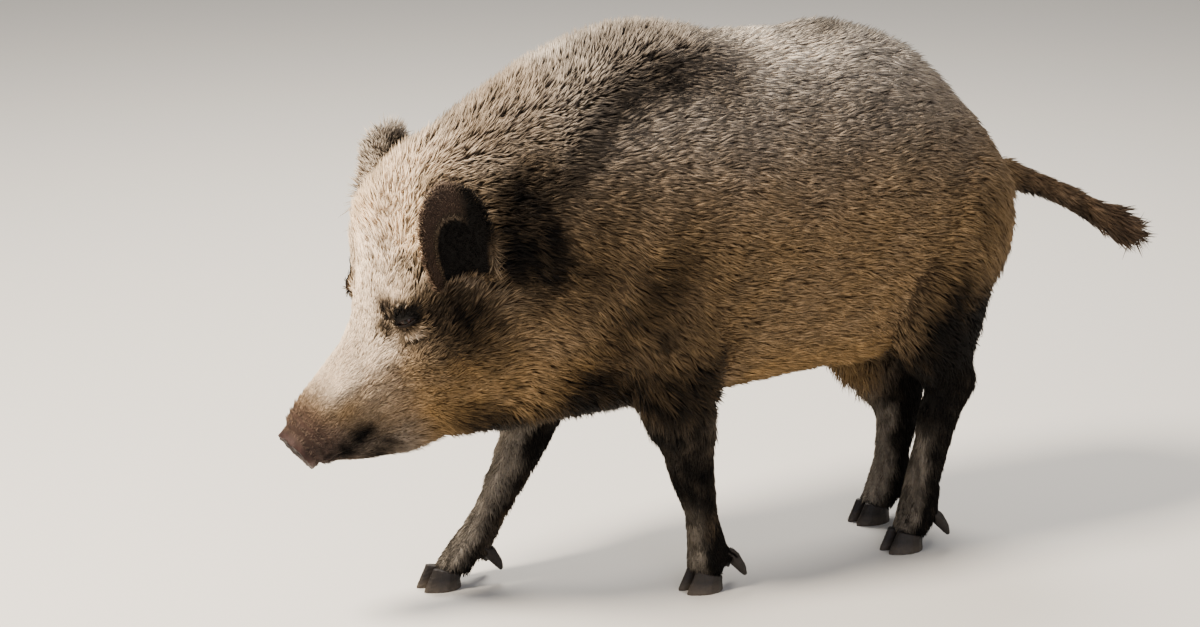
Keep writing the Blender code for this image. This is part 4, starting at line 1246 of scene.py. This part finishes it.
    # A spindle on each root, shaped where it stands.
    spindle = add(tree, "GeometryNodeMeshUVSphere", {"Segments": 3, "Rings": given["Rings"], "Radius": 1.0})
    inputs = {"Geometry": spindle, "Name": "shape", "Value": position}
    spindle = add(tree, "GeometryNodeStoreNamedAttribute", inputs, data_type="FLOAT_VECTOR")
    tufts = add(tree, "GeometryNodeInstanceOnPoints", {"Points": points, "Instance": spindle})
    tufts = add(tree, "GeometryNodeRealizeInstances", (tufts,))
    shape = add(tree, "ShaderNodeSeparateXYZ", (held["shape"],)).outputs
    along = add(tree, MATHS, (shape["Z"], 0.5, 0.5), operation="MULTIPLY_ADD")
    arc = add(tree, MATHS, (along, held["droop"], 1.0), operation="MULTIPLY_ADD")
    arc = add(tree, MATHS, (along, arc), operation="MULTIPLY")
    sunk = add(tree, MATHS, (along, 0.0012, -0.0012), operation="MULTIPLY_ADD")
    height = add(tree, MATHS, (held["rise"], arc, sunk), operation="MULTIPLY_ADD")
    ridge = add(tree, MATHS, (shape["X"], held["breadth"]), operation="MULTIPLY")
    ridge = add(tree, MATHS, (ridge, 0.30), operation="MULTIPLY")
    half = add(tree, MATHS, (shape["Y"], held["breadth"]), operation="MULTIPLY")
    half = add(tree, MATHS, (half, 0.58), operation="MULTIPLY")
    parts = (
        (held["up"], add(tree, MATHS, (height, ridge), operation="ADD")),
        (held["way"], add(tree, MATHS, (along, held["reach"]), operation="MULTIPLY")),
        (add(tree, VECTORS, (held["up"], held["way"]), operation="CROSS_PRODUCT"), half),
        (held["gather"], add(tree, MATHS, (along, along), operation="MULTIPLY")),
    )
    moved = held["root"]
    for direction, amount in parts:
        part = add(tree, VECTORS, {0: direction, "Scale": amount}, operation="SCALE")
        moved = add(tree, VECTORS, (moved, part), operation="ADD")
    tufts = add(tree, "GeometryNodeSetPosition", {"Geometry": tufts, "Position": moved})

    # What the finish reads, and a small square of the unwrapped hide for each tuft.
    inputs = {"Geometry": tufts, "Name": "along", "Value": along}
    tufts = add(tree, "GeometryNodeStoreNamedAttribute", inputs, data_type="FLOAT")
    patch = given["Patch"]
    grid = add(tree, "ShaderNodeCombineXYZ", (patch, patch, 1.0))
    corner = add(tree, VECTORS, (held["unwrap"], grid), operation="SNAP")
    sideways = add(tree, MATHS, (shape["Y"], 0.577, 0.5), operation="MULTIPLY_ADD")
    inside = add(tree, "ShaderNodeCombineXYZ", (sideways, along))
    inside = add(tree, VECTORS, {0: inside, "Scale": patch}, operation="SCALE")
    baked = add(tree, VECTORS, (corner, inside), operation="ADD")
    inputs = {"Geometry": tufts, "Name": "OFBake", "Value": baked}
    tufts = add(tree, "GeometryNodeStoreNamedAttribute", inputs, data_type="FLOAT2", domain="CORNER")
    tufts = add(tree, "GeometryNodeSetMaterial", {"Geometry": tufts, "Material": given["Material"]})
    add(tree, "NodeGroupOutput", (tufts,))
    return tree


KEPT = ("along", "pick", "pale", "warm", "dark", "mud", "ruddy", "OFBake")


def grow_coat(hide, tree, coat, number, name):
    """One piece of the coat, from one plot of the hide."""
    source = new_object(f"coat_{name}", hide.data)
    grow = source.modifiers.new("tufts", "NODES")
    grow.node_group = tree
    values = {
        "Plot": number, "Seed": 11 + 7 * number, "Rings": TUFT_RINGS, "Density": 1.0, "Lock": LOCK_SIZE,
        "Gather": GATHER, "Stray": STRAY, "Patch": UV_PATCH, "Material": coat,
    }
    for item in tree.interface.items_tree:
        if item.in_out == "INPUT" and item.name in values:
            grow[item.identifier] = values[item.name]
    mesh = evaluated(source, f"coat_{name}")
    source.modifiers.clear()
    source.data = mesh
    spare = [layer.name for layer in mesh.attributes if not (layer.is_internal or layer.is_required)]
    for layer in set(spare) - set(KEPT):
        mesh.attributes.remove(mesh.attributes[layer])
    mesh.materials.clear()
    mesh.materials.append(coat)
    mesh.shade_smooth()
    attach(source, "root")


# ---------------------------------------------------------------- eyes and claws


def make_eye(side, sign, glass):
    """An eyeball with a bulging cornea. Stores how far each point is off the gaze, and its turn about it."""
    centre, slit, up, out = eye_axes(sign)
    work = bmesh.new()
    bmesh.ops.create_uvsphere(work, u_segments=64, v_segments=48, radius=1.0)
    mesh = mesh_of(work, f"eyeball_{side}")
    round_points = points_of(mesh)
    off_gaze = np.arccos(np.clip(round_points[:, 2], -1, 1))
    radius = EYE_RADIUS - 0.0007 + 0.0006 * hump(0.0, 0.50, off_gaze)
    place = np.stack([slit, up, out])
    if np.linalg.det(place) < 0:
        place[1] *= -1
    set_points(mesh, from_head(centre + (round_points * radius[:, None]) @ place))
    store(mesh, "off_gaze", off_gaze)
    store(mesh, "turn", np.arctan2(round_points[:, 1], round_points[:, 0]))
    mesh.shade_smooth()
    made = new_object(f"eyeball_{side}", mesh)
    mesh.materials.append(glass)
    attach(made, "root")
    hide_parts(f"eye_{side}")


def make_claw(node, horn):
    """One claw of a foot, from its solid: edges worn round, walls slightly ringed, sole flat."""
    work = bmesh.new()
    work.from_mesh(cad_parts[node].data)
    bmesh.ops.remove_doubles(work, verts=work.verts, dist=1e-5)
    bmesh.ops.recalc_face_normals(work, faces=work.faces)
    made = new_object(f"{node}_horn", mesh_of(work, f"{node}_horn"))
    grid, faces = (0.0007, 900) if "dewclaw" in node else (0.0009, 2600)
    mesh = modified(made, "REMESH", mode="VOXEL", voxel_size=grid)
    relax(mesh, 14)
    points, normals = points_of(mesh), normals_of(mesh)
    on_ground = points[:, 2].min() < 0.004
    wall = step(0.35, 0.75, np.hypot(normals[:, 0], normals[:, 1]))
    rings = np.sin((points[:, 2] - 0.35 * points[:, 0]) * 2 * pi / 0.0042 + 2.0 * ripple(points, 0.02))
    points += normals * (0.00016 * wall * rings + 0.00022 * ripple(points, 0.009))[:, None]
    if on_ground:
        points[:, 2] = np.where(points[:, 2] < 0.0011, 0.0, points[:, 2])
    set_points(mesh, points)
    share = min(1.0, faces / (2 * len(mesh.polygons)))
    mesh = modified(made, "DECIMATE", ratio=share, use_collapse_triangulate=True)
    mesh.shade_smooth()
    mesh.materials.clear()
    mesh.materials.append(horn)
    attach(made, "root")
    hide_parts(node)


# ---------------------------------------------------------------- scene

hide = fused_hide()
shape_hide(hide)
mark_hide(hide)
unwrap_hide(hide)
hide.data.materials.clear()
hide.data.materials.append(hide_finish())
FLESH = [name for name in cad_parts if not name.startswith("eye") and "claw" not in name]
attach(hide, "root")
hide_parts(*FLESH)

tree = tuft_tree()
coat = bristle()
for number, name in enumerate(PLOTS):
    grow_coat(hide, tree, coat, number, name)

horn = horn_finish()
glass = eye_finish()
for sign, side in ((-1, "left"), (1, "right")):
    make_eye(side, sign, glass)
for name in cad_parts:
    if "claw" in name:
        make_claw(name, horn)

work = bmesh.new()
bmesh.ops.create_circle(work, cap_ends=True, segments=64, radius=16.0)
floor = new_object("floor", mesh_of(work, "floor"))
studio, studio_tree, shader = finish("studio_floor")
link(studio_tree, shader, {"Base Color": srgb("#d8d5cf"), "Roughness": 0.85})
floor.data.materials.append(studio)

world = bpy.data.worlds.new("studio")
bpy.context.scene.world = world
world.use_nodes = True
world.node_tree.nodes["Background"].inputs[0].default_value = srgb("#e6e8ec")
world.node_tree.nodes["Background"].inputs[1].default_value = 0.46

LOOKED_AT = Vector((-0.2023, 0.0303, 0.359))
LAMPS = {  # place, size, power and colour
    "key": ((-2.3, -0.1, 3.2), 1.1, 400, "#fff1de"),
    "fill": ((-0.9, -3.8, 1.3), 2.4, 52, "#f3f1ff"),
    "rim": ((0.9, 1.9, 3.0), 1.6, 140, "#fff8ee"),
}


def placed(name, data, place):
    """Puts a lamp or the camera at its place, pointing at the animal."""
    made = new_object(name, data)
    made.location = place
    made.rotation_euler = (LOOKED_AT - made.location).to_track_quat("-Z", "Y").to_euler()
    return made


for name, (place, size, power, colour) in LAMPS.items():
    lamp = bpy.data.lights.new(name, "AREA")
    lamp.shape = "DISK"
    lamp.size = size
    lamp.energy = power
    lamp.color = srgb(colour)[:3]
    placed(name, lamp, place)

lens = bpy.data.cameras.new("camera")
lens.lens = 114.15  # millimetres, as is the sensor's width
lens.sensor_width = 36.0
bpy.context.scene.camera = placed("camera", lens, (-2.687, -4.122, 1.619))
